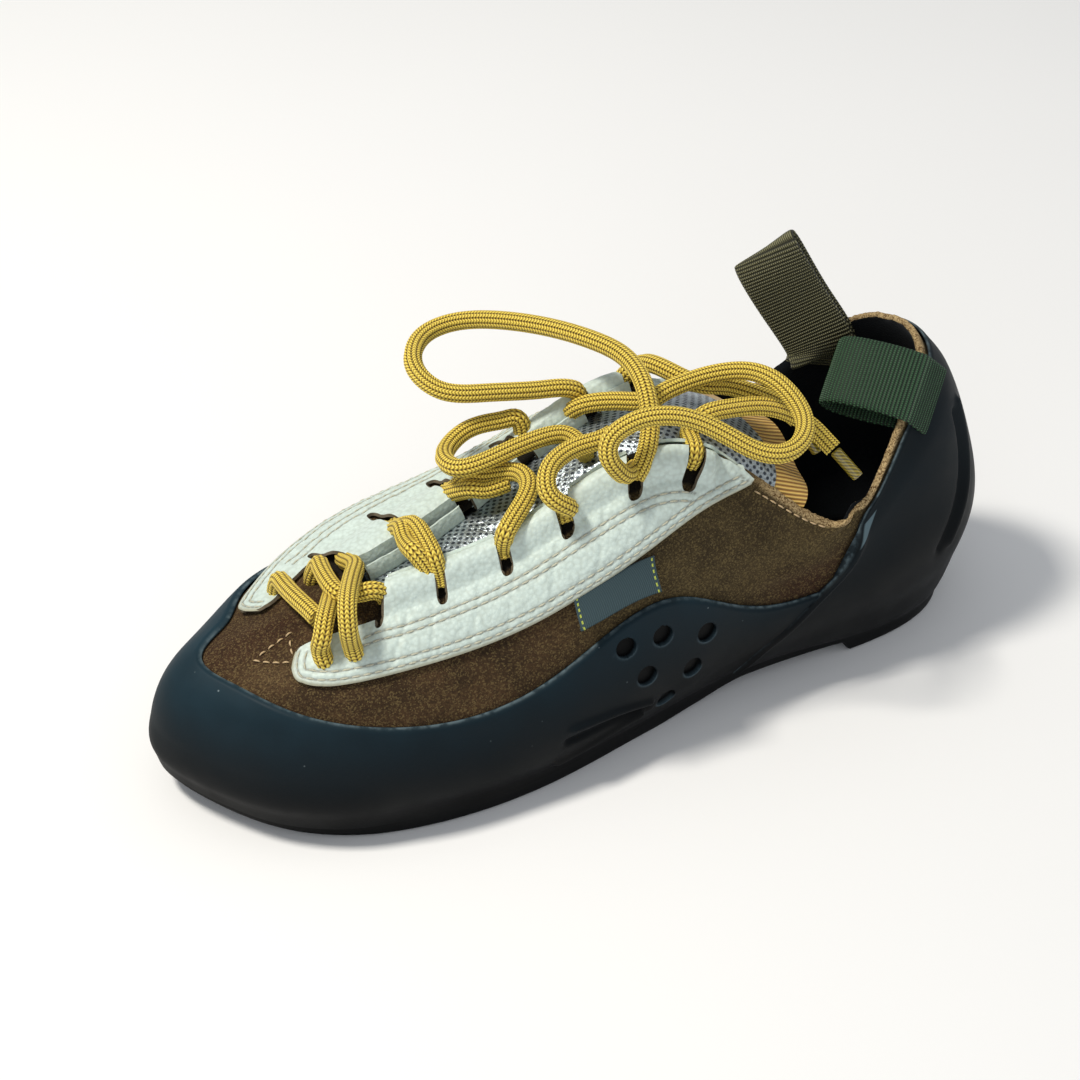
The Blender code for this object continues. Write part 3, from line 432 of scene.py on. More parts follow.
def heel_front(v):
    """Place round the foot of the heel rand's front edge at share v, on the outer side."""
    rows = np.array(HEEL_FRONT)
    return monotone(rows[:, 0], rows[:, 1], v)


def rand_top(t):
    """Share up the section of the toe rand's upper edge at place t."""
    return (closed_spline(KNOTS, np.asarray(t, float).ravel()) @ RAND_V).reshape(np.shape(t))


def tongue_grid(a):
    """Rows along the foot; each row runs from under one eyestay over the throat to under the other.

    Between the top edges a row is a cubic that starts and ends along the foot's own section, with 0.9 of
    the span as its speed.
    """
    first = TONGUE_OUTER[0] + a * (TONGUE_OUTER[1] - TONGUE_OUTER[0])
    second = TONGUE_INNER[0] + a * (TONGUE_INNER[1] - TONGUE_INNER[0])
    v = np.tile([TONGUE_REACH, 1.0], (len(a), 1))
    under = np.full(v.shape, -(WALL + TONGUE_GAP))
    one = skin(np.repeat(first[:, None], 2, 1), v, under)
    two = skin(np.repeat(second[:, None], 2, 1), v, under)
    span = np.linalg.norm(two[:, 1] - one[:, 1], axis=1)[:, None]
    go = unit(one[:, 1] - one[:, 0]) * span
    come = unit(two[:, 0] - two[:, 1]) * span
    rows = []
    for u in np.linspace(0, 1, 7)[1:-1]:
        rows.append(one[:, 1] * (1 + 2 * u) * (1 - u) ** 2 + go * 0.9 * u * (1 - u) ** 2
                    + two[:, 1] * u * u * (3 - 2 * u) - come * 0.9 * u * u * (1 - u))
    return np.concatenate([one, np.stack(rows, 1), two[:, ::-1]], 1)


# Places of the listed detail, all as (place round the foot, share up the section)
TRIANGLE = ((0.029, 0.913), (0.029, 0.794), (0.061, 0.806), (0.029, 0.913))

# Soft creases of the suede: two ends, width and height in metres (a trough is below zero)
SUEDE_CREASES = (
    ((0.030, 0.730), (0.075, 0.690), 0.0050, -0.00035),
    ((0.060, 0.690), (0.120, 0.600), 0.0060, 0.00040),
    ((0.140, 0.560), (0.215, 0.590), 0.0045, -0.00030),
    ((0.300, 0.700), (0.335, 0.900), 0.0060, -0.00045),
    ((0.325, 0.560), (0.365, 0.700), 0.0050, 0.00045),
    ((0.290, 0.600), (0.350, 0.520), 0.0040, -0.00030),
    ((0.965, 0.800), (0.930, 0.640), 0.0060, -0.00040),
    ((0.700, 0.620), (0.660, 0.820), 0.0060, -0.00050),
    ((0.740, 0.560), (0.690, 0.500), 0.0050, 0.00040),
    ((0.860, 0.560), (0.800, 0.600), 0.0055, -0.00035),
)
# Bends pressed across the white leather where the foot flexes
LEATHER_CREASES = (
    ((0.128, 0.700), (0.138, 0.850), 0.0016, -0.00028),
    ((0.150, 0.690), (0.154, 0.860), 0.0013, -0.00024),
    ((0.172, 0.700), (0.180, 0.840), 0.0015, -0.00026),
    ((0.191, 0.680), (0.199, 0.850), 0.0013, -0.00022),
    ((0.214, 0.690), (0.221, 0.850), 0.0016, -0.00030),
    ((0.237, 0.680), (0.244, 0.870), 0.0014, -0.00024),
    ((0.262, 0.720), (0.268, 0.880), 0.0018, -0.00030),
    ((0.100, 0.740), (0.112, 0.850), 0.0014, -0.00020),
    ((0.892, 0.740), (0.884, 0.860), 0.0015, -0.00026),
    ((0.846, 0.720), (0.839, 0.860), 0.0014, -0.00024),
    ((0.806, 0.710), (0.800, 0.860), 0.0015, -0.00026),
    ((0.772, 0.720), (0.766, 0.870), 0.0015, -0.00024),
)
# Pressed folds of the toe rand in the arch, and of the heel rand near its back
RAND_FOLDS = (
    ((0.217, 0.252), (0.236, 0.236), (0.252, 0.214), (0.266, 0.186), 0.0022, -0.0016),
    ((0.220, 0.296), (0.238, 0.275), (0.253, 0.251), (0.266, 0.222), 0.0022, 0.0013),
    ((0.212, 0.140), (0.230, 0.164), (0.246, 0.174), (0.262, 0.170), 0.0020, 0.0012),
)
HEEL_FOLDS = (
    ((0.470, 0.700), (0.466, 0.560), (0.455, 0.400), (0.440, 0.270), 0.0030, -0.0014),
    ((0.478, 0.700), (0.474, 0.560), (0.463, 0.400), (0.447, 0.270), 0.0028, 0.0011),
)

# Where each lace goes under the leather: points as (place round the foot, share up, height over the last)
TAILS = {
    "lace_small_loop": (((0.7860, 0.930, 0.0012), (0.7830, 0.955, 0.0035)), ()),
    "lace_hook": (((0.2265, 0.905, 0.0004), (0.2265, 0.940, 0.0022)), ()),
    "lace_left_loop": (((0.7570, 0.930, 0.0006), (0.7575, 0.955, 0.0028)), ()),
    "lace_right_loop": (((0.2570, 0.915, 0.0004), (0.2570, 0.945, 0.0022)), ()),
    "lace_long_end": (((0.2800, 0.940, 0.0006), (0.2800, 0.985, 0.0030)), ()),
    "lace_short_end": (((0.7345, 0.930, 0.0006), (0.7340, 0.965, 0.0034)), ()),
}
STRAND_TAILS = {
    "lace_front": (
        (((0.941, 0.838, -0.0012), (0.941, 0.850, 0.0015)), ()),
        (((0.085, 0.790, -0.0016), (0.085, 0.783, 0.0016)), ()),
        (((0.922, 0.905, -0.0012), (0.922, 0.920, 0.0015)),
         ((0.1210, 0.950, 0.0024), (0.1240, 0.930, 0.0016))),
        (((0.105, 0.790, -0.0016), (0.105, 0.783, 0.0016)),
         ((0.9020, 0.965, 0.0028), (0.8980, 0.940, 0.0018))),
    ),
    "lace_second": (
        (((0.1600, 0.915, 0.0004), (0.1600, 0.945, 0.0022)),
         ((0.8600, 0.965, 0.0030), (0.8570, 0.940, 0.0018))),
        (((0.8640, 0.935, 0.0018), (0.8640, 0.965, 0.0032)),
         ((0.1545, 0.955, 0.0026), (0.1520, 0.930, 0.0016))),
    ),
    "lace_third": (
        (((0.1960, 0.915, 0.0004), (0.1960, 0.945, 0.0022)),
         ((0.8230, 0.965, 0.0034), (0.8230, 0.935, 0.0018))),
        (((0.8270, 0.935, 0.0018), (0.8270, 0.965, 0.0032)), ()),
    ),
}


def linear(code):
    """sRGB hex code to a linear colour."""
    parts = [int(code[i:i + 2], 16) / 255 for i in (0, 2, 4)]
    return [c / 12.92 if c < 0.04045 else ((c + 0.055) / 1.055) ** 2.4 for c in parts] + [1.0]


def add(tree, kind, inputs=None, out=None, **settings):
    """Add a shader node with its settings, then set or link its inputs; a string is a colour's hex code.

    Gives the node, or the output asked for.
    """
    node = tree.nodes.new("ShaderNode" + kind)
    for name, value in settings.items():
        setattr(node, name, value)
    for name, value in (inputs or {}).items():
        if isinstance(value, bpy.types.NodeSocket):
            tree.links.new(value, node.inputs[name])
        else:
            node.inputs[name].default_value = linear(value) if isinstance(value, str) else value
    return node if out is None else node.outputs[out]


def start(name, **constants):
    """A new material with its constants on the shader's own sockets, and its tree of nodes."""
    made = bpy.data.materials.new(name)
    made.use_nodes = True
    shader = made.node_tree.nodes["Principled BSDF"]
    for key, value in constants.items():
        value = linear(value) if isinstance(value, str) else value
        shader.inputs[key.replace("_", " ")].default_value = value
    return made, made.node_tree


def finish(made, **sockets):
    """Link what the nodes work out to the shader's sockets of the same names, and give the material."""
    shader = made.node_tree.nodes["Principled BSDF"]
    for key, socket in sockets.items():
        made.node_tree.links.new(socket, shader.inputs[key.replace("_", " ")])
    return made


def grid_faces(rows, cols, wrap_rows=False, wrap_cols=False):
    """Quads of a grid of points, row by row, joined round where it closes on itself."""
    index = np.arange(rows * cols).reshape(rows, cols)
    if wrap_rows:
        index = np.concatenate([index, index[:1]])
    if wrap_cols:
        index = np.concatenate([index, index[:, :1]], 1)
    return np.stack([index[:-1, :-1], index[1:, :-1], index[1:, 1:], index[:-1, 1:]], -1).reshape(-1, 4)


def edge_walls(quads, count):
    """Quads joining each open edge of a sheet to the same edge of its copy, which lies count points on."""
    a, b = quads.ravel(), np.roll(quads, -1, axis=1).ravel()
    lone = ~np.isin(a * 10 ** 7 + b, b * 10 ** 7 + a)
    a, b = a[lone], b[lone]
    return np.stack([b, a, a + count, b + count], 1)


def two_sided(outer, inner, quads):
    """Points and faces of a sheet: its outer face, its inner face turned round, and walls at open edges."""
    count = outer[..., 0].size
    points = np.concatenate([outer.reshape(-1, 3), inner.reshape(-1, 3)])
    return points, np.concatenate([quads, quads[:, ::-1] + count, edge_walls(quads, count)])


def add_piece(name, points, quads, mats, caps=(), nodes=(), group=None, uv=None, period=None,
              marks=None, sharp=None):
    """Put arrays of points and faces into a mesh object that rides on the shoe.

    Points that no face uses are dropped. A face whose texture places span more than half a period
    crosses the seam, so its low places are moved on by one period.
    """
    quads = np.asarray(quads)
    flat = np.concatenate([quads.ravel()] + [np.asarray(c) for c in caps])
    used, flat = np.unique(flat, return_inverse=True)
    flat = flat.ravel()
    points = np.asarray(points)[used]
    sizes = np.concatenate([np.full(len(quads), 4), [len(c) for c in caps]]).astype(np.int32)
    mesh = bpy.data.meshes.new(name)
    mesh.vertices.add(len(points))
    mesh.vertices.foreach_set("co", points.astype(np.float32).ravel())
    mesh.loops.add(len(flat))
    mesh.loops.foreach_set("vertex_index", flat.astype(np.int32))
    mesh.polygons.add(len(sizes))
    mesh.polygons.foreach_set("loop_start", np.concatenate([[0], np.cumsum(sizes)[:-1]]).astype(np.int32))
    for mat in mats:
        mesh.materials.append(mat)
    if group is not None:
        group = np.concatenate([group, np.zeros(len(caps))]).astype(np.int32)
        mesh.polygons.foreach_set("material_index", group)
    if uv is not None:
        place = np.asarray(uv, float)[used][flat]
        if period is not None:
            corner = place[:4 * len(quads)].reshape(-1, 4, 2)
            for k, size in enumerate(period):
                if size:
                    high = corner[..., k].max(1, keepdims=True)
                    corner[..., k] += np.where(high - corner[..., k] > size / 2, size, 0.0)
            place[:4 * len(quads)] = corner.reshape(-1, 2)
        layer = mesh.uv_layers.new(name="flat")
        layer.data.foreach_set("uv", place.astype(np.float32).ravel())
    for key, value in (marks or {}).items():
        made = mesh.attributes.new(key, "FLOAT", "POINT")
        made.data.foreach_set("value", np.asarray(value, float).ravel()[used].astype(np.float32))
    mesh.update(calc_edges=True)
    mesh.shade_smooth()
    if sharp:
        mesh.set_sharp_from_angle(angle=math.radians(sharp))
    piece = bpy.data.objects.new(name, mesh)
    bpy.context.scene.collection.objects.link(piece)
    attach(piece, "root")
    if nodes:
        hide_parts(*nodes)
    return piece


def near(points, curve):
    """Distance from every point to a curve of close points, worked out a slice at a time."""
    flat = points.reshape(-1, 3)
    slices = [flat[k:k + 4000, None] for k in range(0, len(flat), 4000)]
    gaps = [np.sqrt(((part - curve[None]) ** 2).sum(2).min(1)) for part in slices]
    return np.concatenate(gaps).reshape(points.shape[:-1])


def drawn(corners, count=60):
    """Close points of the last along a smooth curve through (place, share) corners."""
    flat = smooth_path(np.column_stack([np.array(corners), np.zeros(len(corners))]), count)
    return last(flat[:, 0], flat[:, 1])


def creases(points, table):
    """Sum of soft folds: each is its height times exp(-(distance over half width) squared)."""
    total = np.zeros(points.shape[:-1])
    for row in table:
        line = drawn(row[:-2])
        total += row[-1] * bell(near(points, line), row[-2] / 2)
    return total


def ripple(points, size, seed):
    """Smooth uneven field from -1 to 1: the mean of six waves in fixed directions, about size long."""
    rng = np.random.default_rng(seed)
    total = 0
    for _ in range(6):
        way = rng.normal(size=3)
        way *= 2 * math.pi / size / np.linalg.norm(way) * rng.uniform(0.7, 1.4)
        total = total + np.sin(points @ way + rng.uniform(0, 6.3))
    return total / 6 * 1.6


def grid_normals(grid):
    """Unit normals of a grid of points, from the steps along its rows and columns."""
    return unit(np.cross(np.gradient(grid, axis=0), np.gradient(grid, axis=1)))


def tube(path, radius, around=40, ribs=10, rise=0.065):
    """Round cord along a path, its ring carried along without twist.

    The radius at angle a is r (1 + rise cos(ribs a)). Gives points, quads, caps and flat places
    (ten millimetres along, turns round).
    """
    path = np.asarray(path, float)
    forward = unit(np.gradient(path, axis=0))
    side = unit(np.cross(forward[0], [0.3, 0.2, 1.0]))
    sides = []
    for ahead in forward:
        side = unit(side - ahead * (side @ ahead))
        sides.append(side)
    sides = np.array(sides)
    up = np.cross(forward, sides)
    angle = np.arange(around) * 2 * math.pi / around
    radius = np.broadcast_to(radius, len(path))[:, None] * (1 + rise * np.cos(ribs * angle))
    points = path[:, None] + radius[..., None] * (
        np.cos(angle)[None, :, None] * sides[:, None] + np.sin(angle)[None, :, None] * up[:, None])
    count = len(path)
    uv = np.stack(np.broadcast_arrays(run_along(path)[:, None] * 100, angle[None] / 2 / math.pi), -1)
    caps = [list(range(around))[::-1], [(count - 1) * around + k for k in range(around)]]
    quads = grid_faces(count, around, wrap_cols=True)[:, ::-1]
    return points.reshape(-1, 3), quads, caps, uv.reshape(-1, 2)


def join(parts):
    """Several (points, quads, caps, places) sets as one."""
    points, quads, caps, uv, base = [], [], [], [], 0
    for p, q, c, t in parts:
        points.append(p)
        quads.append(q + base)
        caps += [[k + base for k in cap] for cap in c]
        uv.append(t)
        base += len(p)
    return np.concatenate(points), np.concatenate(quads), caps, np.concatenate(uv)


def stitches(curve, normal, pitch=0.0031, length=0.0025, width=0.00050, height=0.00042, sides=6, rings=7):
    """A row of thread stitches along a curve: half-sunk capsules whose ends dive into the sheet.

    Stitch k runs from k pitch for its length; at share u its lift is height sin(pi u) less a sink.
    """
    run = run_along(curve)
    count = max(1, int((run[-1] - length) / pitch) + 1)
    u = np.linspace(0.02, 0.98, rings)
    at = (np.arange(count)[:, None] * pitch + u[None] * length).ravel()
    centre = np.stack([np.interp(at, run, curve[:, k]) for k in range(3)], 1)
    ahead = unit(np.stack([np.interp(at + 1e-4, run, curve[:, k]) - np.interp(at - 1e-4, run, curve[:, k])
                           for k in range(3)], 1))
    out = unit(np.stack([np.interp(at, run, normal[:, k]) for k in range(3)], 1))
    across = np.cross(out, ahead)
    bow = np.tile(np.sin(math.pi * u), count)
    centre += out * (height * (0.75 * bow - 0.35))[:, None]
    angle = np.arange(sides) * 2 * math.pi / sides
    size = 0.35 + 0.65 * np.sqrt(bow)
    wide = (size * width / 2)[:, None, None] * np.cos(angle)[None, :, None] * across[:, None]
    tall = (size * height / 2)[:, None, None] * np.sin(angle)[None, :, None] * out[:, None]
    points = centre[:, None] + wide + tall
    ring = grid_faces(rings, sides, wrap_cols=True)
    quads = (ring[None, :, ::-1] + (np.arange(count) * rings * sides)[:, None, None]).reshape(-1, 4)
    ends = np.arange(sides)
    caps = []
    for k in range(count):
        caps.append(list(k * rings * sides + ends[::-1]))
        caps.append(list(k * rings * sides + (rings - 1) * sides + ends))
    return points.reshape(-1, 3), quads, caps, np.zeros((count * rings * sides, 2))


def lace_path(route, tails, step=0.0007):
    """Close points of a lace: its tail under the leather, its own route and its far tail."""
    ends = [[skin(np.array([t]), np.array([v]), np.array([h]))[0] for t, v, h in part] for part in tails]
    whole = np.array(ends[0] + [np.array(p) for p in route] + ends[1])
    length = np.linalg.norm(np.diff(whole, axis=0), axis=1).sum()
    return smooth_path(whole, int(length / step) + 2)


def suede_marks(around, place):
    """Marks of the suede from 0 to 1, by place round the foot and share up the section.

    dark is painted shade in the slit under the tongue and its slots, and over all that the rand hides, so
    that the rand's holes look black; vamp the front part; the reddish mark the rubbed patches at the heel
    and painted shade on the vamp's front by the toe; raw the cut collar edge; and pale a painted pool of
    light by the little toe.
    """
    throat = np.minimum(ramp(around, 0.108, 0.122), 1 - ramp(around, 0.288, 0.296)) \
        + np.minimum(ramp(around, 0.724, 0.732), 1 - ramp(around, 0.908, 0.918))
    # Painted shade: the slit under the tongue and the slots, and all that the rand hides, are coloured near
    # black.
    slit = np.clip(throat, 0, 1) * ramp(place, 0.862, 0.872)
    hidden = 1 - ramp(place - rand_top(around), -0.030, -0.012)
    rust_and_toe_shade = (bell(around, 0.030, 0.362) + bell(around, 0.030, 0.655)) * (1 - ramp(place, 0.50, 0.80))
    # Painted shade on the vamp's front by the toe, added to the reddish patches at the heel.
    rust_and_toe_shade = rust_and_toe_shade + 0.80 * bell(np.minimum(around, 1 - around), 0.040) * ramp(place, 0.68, 0.74)
    return {
        "dark": np.clip(slit + hidden, 0, 1),
        "vamp": 1 - np.minimum(ramp(around, 0.200, 0.262), 1 - ramp(around, 0.750, 0.812)),
        "rust_and_toe_shade": np.clip(rust_and_toe_shade, 0, 1),
        "raw": collar_part(around) * ramp(place, 0.962, 0.985),
        # Painted pool of light on the vamp by the little toe.
        "pale": bell(around, 0.024, 0.050) * bell(place, 0.060, 0.745),
    }


def collar_part(t):
    """1 round the collar's raw edge and 0 along the throat, by place round the foot."""
    return ramp(t, 0.300, 0.320) * (1 - ramp(t, 0.700, 0.720))


def make_upper(mats):
    """Hollow suede upper: a closed profile (outside, rounded rim, lining) carried round the last.

    The rim is a half circle of the wall's thickness above the top edge, frayed round the collar. A pair
    of bells by the heel rubber presses one S-shaped fold into the collar.
    """
    t = np.arange(720) / 720
    share = np.concatenate([np.linspace(0, 0.5, 14)[:-1], np.linspace(0.5, 1, 46)])
    tt, vv = np.meshgrid(t, share, indexing="ij")
    outer = last(tt, vv)
    out = outward(tt, vv)
    wave = 0.00016 * ripple(outer, 0.022, 3) + 0.00009 * ripple(outer, 0.009, 4)
    fold = creases(outer, SUEDE_CREASES)
    shown = ramp(vv, rand_top(tt) + 0.01, rand_top(tt) + 0.05)
    shown = shown * (1 - ramp(vv, 0.93, 1.0))
    outer = outer + out * ((wave + fold) * shown)[..., None]
    top, side = last(t, np.ones_like(t)), outward(t, np.ones_like(t))
    rise = unit(top - last(t, np.full_like(t, 0.99)))
    fuzz = 0.00035 * ripple(top, 0.0017, 5) + 0.00045 * ripple(top, 0.005, 6)
    half = WALL / 2
    angle = np.radians([25, 55, 90, 125, 155])
    rim = top[:, None] + side[:, None] * (half * (np.cos(angle) - 1))[None, :, None] \
        + rise[:, None] * ((half * np.sin(angle))[None, :] + (fuzz * collar_part(t))[:, None])[..., None]
    back = np.linspace(1, 0, 26)
    ti, vi = np.meshgrid(t, back, indexing="ij")
    inner = skin(ti, vi, np.full(ti.shape, -WALL))
    grid = np.concatenate([outer, rim, inner], 1)
    bend = bell(t, 0.0055, 0.352) - bell(t, 0.0060, 0.366)
    height = np.concatenate([vv, np.ones(rim.shape[:2]), vi], 1)
    grid = grid + (side * (0.0016 * bend)[:, None] + np.abs(bend)[:, None] * [0, 0, 0.0010])[:, None] \
        * ramp(height, 0.86, 1.0)[..., None]
    cols = grid.shape[1]
    quads = grid_faces(len(t), cols, True, True)
    place = np.concatenate([vv, np.full(rim.shape[:2], 1.01), vi + 2], 1)
    around = np.repeat(t[:, None], cols, 1)
    middle = place.ravel()[quads].mean(1)
    group = np.where(middle > 1.02, 1, 0)
    return add_piece(
        "upper_shell", grid.reshape(-1, 3), quads, [mats["suede"], mats["lining"]], nodes=("upper",),
        group=group, marks=suede_marks(around, place))


def closed_sheet(outer, inner):
    """Grid whose columns run up the outside and down the inside: outer rows, then inner rows reversed."""
    return np.concatenate([outer, inner[:, ::-1]], 1)


def end_caps(rows, cols):
    """The two end faces of a closed grid, each turned to point away from the sheet."""
    return [list(range(cols)), [(rows - 1) * cols + k for k in range(cols)][::-1]]


def flush_edge(t, v, outer):
    """Bring a rand flush with the ground edge of the sole, and give the rows that carry it down that edge.

    Below share 0.16 (0.34 at the toe) the rand moves outwards to the sole's outline, by a rounded maximum;
    the added rows lie on the sole's side.
    """
    ring = closed_spline(KNOTS, t) @ SOLE_RING
    ahead = unit((closed_spline(KNOTS, t + 1e-3) - closed_spline(KNOTS, t - 1e-3)) @ SOLE_RING)
    side = unit(np.stack([ahead[:, 1], -ahead[:, 0], 0 * t], 1))
    ring = ring + side * FLUSH
    short = np.einsum("ijk,ik->ij", ring[:, None] - outer, side)
    toe = (1 - ramp(np.abs((t + 0.5) % 1.0 - 0.5), 0.10, 0.17))[:, None]
    fill = 1 - ramp(v, 0.03 + 0.15 * toe, 0.16 + 0.18 * toe)
    soft = 0.0003 + 0.0032 * toe
    outer = outer + side[:, None] * ((short + np.sqrt(short ** 2 + soft ** 2)) / 2 * fill)[..., None]
    low, high = sole_low(ring[:, 0]) + SOLE_EDGE, sole_top(ring[:, 0])
    rows = []
    for inset, share in ((0.0012, 0.85), (0.00035, 0.5)):
        row = ring - side * inset
        row[:, 2] = low - SOLE_EDGE * share
        rows.append(row)
    for share in (0.0, 0.25, 0.5, 0.75, 1.0):
        row = ring.copy()
        row[:, 2] = low + share * (high - low)
        rows.append(row)
    return np.stack(rows, 1), outer


def add_rand(name, node, mat, base, out, outer, foot, marks, sharp):
    """Close a rand's outer face and the rows down the sole's edge into a sheet, LAP clear of the last.

    Its marks are spread over the whole sheet: they are 0 inside, and the rows down the sole's edge take
    the full painted shade of the lowest part of the rand.
    """
    pick = np.linspace(0, outer.shape[1] - 1, 14).astype(int)
    inner = base[:, pick] + out[:, pick] * LAP
    grid = closed_sheet(np.concatenate([foot, outer], 1), inner)
    rows, cols = grid.shape[:2]
    inside = np.zeros(inner.shape[:2])
    spread = {key: np.concatenate([np.full(foot.shape[:2], float(key == "low")), mark, inside], 1)
              for key, mark in marks.items()}
    return add_piece(name, grid.reshape(-1, 3), grid_faces(rows, cols, wrap_cols=True), [mat],
                     caps=end_caps(rows, cols), nodes=(node,), sharp=sharp, marks=spread)


def rows_left(base):
    """Distance on the surface from each point of a rand up to its upper edge."""
    run = np.linalg.norm(np.diff(base, axis=1), axis=2)
    return np.concatenate([run[:, ::-1].cumsum(1)[:, ::-1], np.zeros((len(base), 1))], 1)


def toe_rand_places():
    """Places and shares of the toe rand's points: close rows over the holes, and ends along the heel rand.

    The first and last rows lie on the heel rand's front edge, and the next rows share out the way to it.
    """
    middle = np.unique(np.round(np.concatenate([
        np.arange(-0.303, 0.2440, 0.0017), np.arange(0.2450, 0.3061, 0.0005)]), 5))
    end = np.linspace(0, 1, 34)[:-1]
    w = np.linspace(0, 1, 140)
    t = np.repeat(np.concatenate([-0.36 + 0 * end, middle, 0.36 + 0 * end])[:, None], len(w), 1)
    for _ in range(4):
        v = RAND_START + w * (rand_top(t) - RAND_START)
        first = (MIRROR - 1 - heel_front(v) + RAND_SPLIT)[0]
        stop = (heel_front(v) - RAND_SPLIT)[-1]
        t[:len(end)] = first + (middle[0] - first) * end[:, None]
        t[-len(end):] = stop + (middle[-1] - stop) * end[::-1, None]
    return t, v


def cut_holes(base, out, height):
    """Sink the round holes of the rand to its back; gives height, sideways shift, hole mark and lip mark.

    Points within 0.3 mm of a hole's circle are moved to 0.04 mm inside or outside it, so that its wall
    is steep. The hole mark is painted shade, near black over each hole's floor, and the lip mark is a
    painted highlight on the lower edge of each hole.
    """
    dark = np.zeros(height.shape)
    lip_highlight = np.zeros(height.shape)
    shift = np.zeros(base.shape)
    for t, v in HOLES:
        centre = last(np.array([t]), np.array([v]))[0]
        axis = outward(np.array([t]), np.array([v]))[0]
        away = base - centre
        away = away - axis * (away @ axis)[..., None]
        r = np.linalg.norm(away, axis=2)
        facing = (out @ axis) > 0.4
        inside = (r < HOLE / 2) & facing
        ring = (np.abs(r - HOLE / 2) < 0.00030) & facing
        goal = np.where(inside, HOLE / 2 - 0.00004, HOLE / 2 + 0.00004)
        shift += np.where(ring[..., None], away * ((goal - r) / np.maximum(r, 1e-6))[..., None], 0)
        height = np.where(inside, LAP + 0.00005, height)
        # Painted shade: each hole's floor is coloured near black.
        dark = np.maximum(dark, inside)
        # Painted highlight along each hole's lower edge.
        low_side = bell(r, 0.00030, HOLE / 2 + 0.0002) * facing * np.clip(-away[..., 2] / 0.002, 0, 1)
        lip_highlight = np.maximum(lip_highlight, low_side * (1 - inside))
    return height, shift, dark, lip_highlight


def make_toe_rand(mats):
    """Rubber rand round the toe and arch, thinned to a feather edge at the top, with six round holes.

    Its thickness is RAND times 0.3 + 0.7 of the root of a smooth step over the feather's width.
    """
    tt, vv = toe_rand_places()
    base, out = last(tt, vv), outward(tt, vv)
    below = rows_left(base)
    thick = RAND * (0.30 + 0.70 * np.sqrt(ramp(below, 0.0, FEATHER)))
    height = LAP + thick + 0.0008 * (1 - ramp(vv, 0.03, 0.15))
    height, shift, dark, lip_highlight = cut_holes(base, out, height)
    relief = creases(base, RAND_FOLDS) * (1 - ramp(vv, 0.30, 0.36))
    relief = relief + 0.00018 * ripple(base, 0.030, 11) * ramp(below, 0.001, 0.006)
    foot, outer = flush_edge(tt[:, 0], vv, base + out * height[..., None] + shift)
    outer = outer + out * (relief * (1 - dark))[..., None]
    # Painted light: low darkens the rand towards the bottom, the hole mark colours the holes near black, and
    # the lip mark paints a highlight on their lower edges.
    marks = {"dark": dark, "lip_highlight": lip_highlight, "low": 1 - ramp(vv, 0.10, 0.75) ** 1.3, "edge": bell(below, 0.00040)}
    return add_rand("toe_rand_rubber", "toe_rand", mats["rand"], base, out, outer,
                    foot, marks, 50)


def make_heel_rand(mats):
    """Moulded rubber round the heel, with a rounded raised front edge and pressed folds at the back.

    Its thickness follows the roots of two smooth steps, one in from the front edges and one down from
    the top, and a low bead runs 2.2 mm behind each front edge.
    """
    share = np.linspace(HEEL_START, HEEL_TOP, 78)
    front = heel_front(share)
    fine = np.concatenate([np.linspace(0, 0.04, 16)[:-1], np.linspace(0.04, 0.96, 260),
                           np.linspace(0.96, 1, 16)[1:]])
    tt = front[None] + (MIRROR - 2 * front)[None] * fine[:, None]
    vv = np.repeat(share[None], len(fine), 0)
    base, out = last(tt, vv), outward(tt, vv)
    step = np.linalg.norm(np.diff(base, axis=0), axis=2)
    into = np.concatenate([np.zeros((1, len(share))), step.cumsum(0)])
    away = np.minimum(into, into[-1] - into)
    below = rows_left(base)
    rounding = np.sqrt(ramp(away, -0.0002, 0.0016)) * np.sqrt(ramp(below, -0.0003, 0.0014))
    height = LAP + HEEL_RAND * (0.25 + 0.75 * rounding) * (0.50 + 0.50 * ramp(below, 0.0, 0.012))
    height = height + 0.0005 * bell(away, 0.0012, 0.0022) * (1 - ramp(vv, 0.60, 0.80))
    height = height + creases(base, HEEL_FOLDS) + 0.00022 * ripple(base, 0.032, 21) * rounding
    height = height + 0.0008 * (1 - ramp(vv, 0.03, 0.14))
    foot, outer = flush_edge(tt[:, 0], vv, base + out * height[..., None])
    low, high = PATCH_UP
    span = ramp(away, 0.0012, 0.0016) * (1 - ramp(away + 0.0060 * (high - vv) / 0.24, 0.0062, 0.0066))
    patch = span * ramp(vv, low, low + 0.01) * (1 - ramp(vv, high - 0.01, high)) * (tt < 0.45)
    # low paints shade, darker towards the bottom; patch is the lighter slate patch, edge the pale trimmed
    # edge.
    marks = {"patch": patch, "low": 1 - ramp(vv, 0.05, 0.75), "edge": bell(np.minimum(away, below), 0.00035)}
    return add_rand("heel_rand_rubber", "heel_rand", mats["heel_rubber"], base, out, outer,
                    foot, marks, 60)


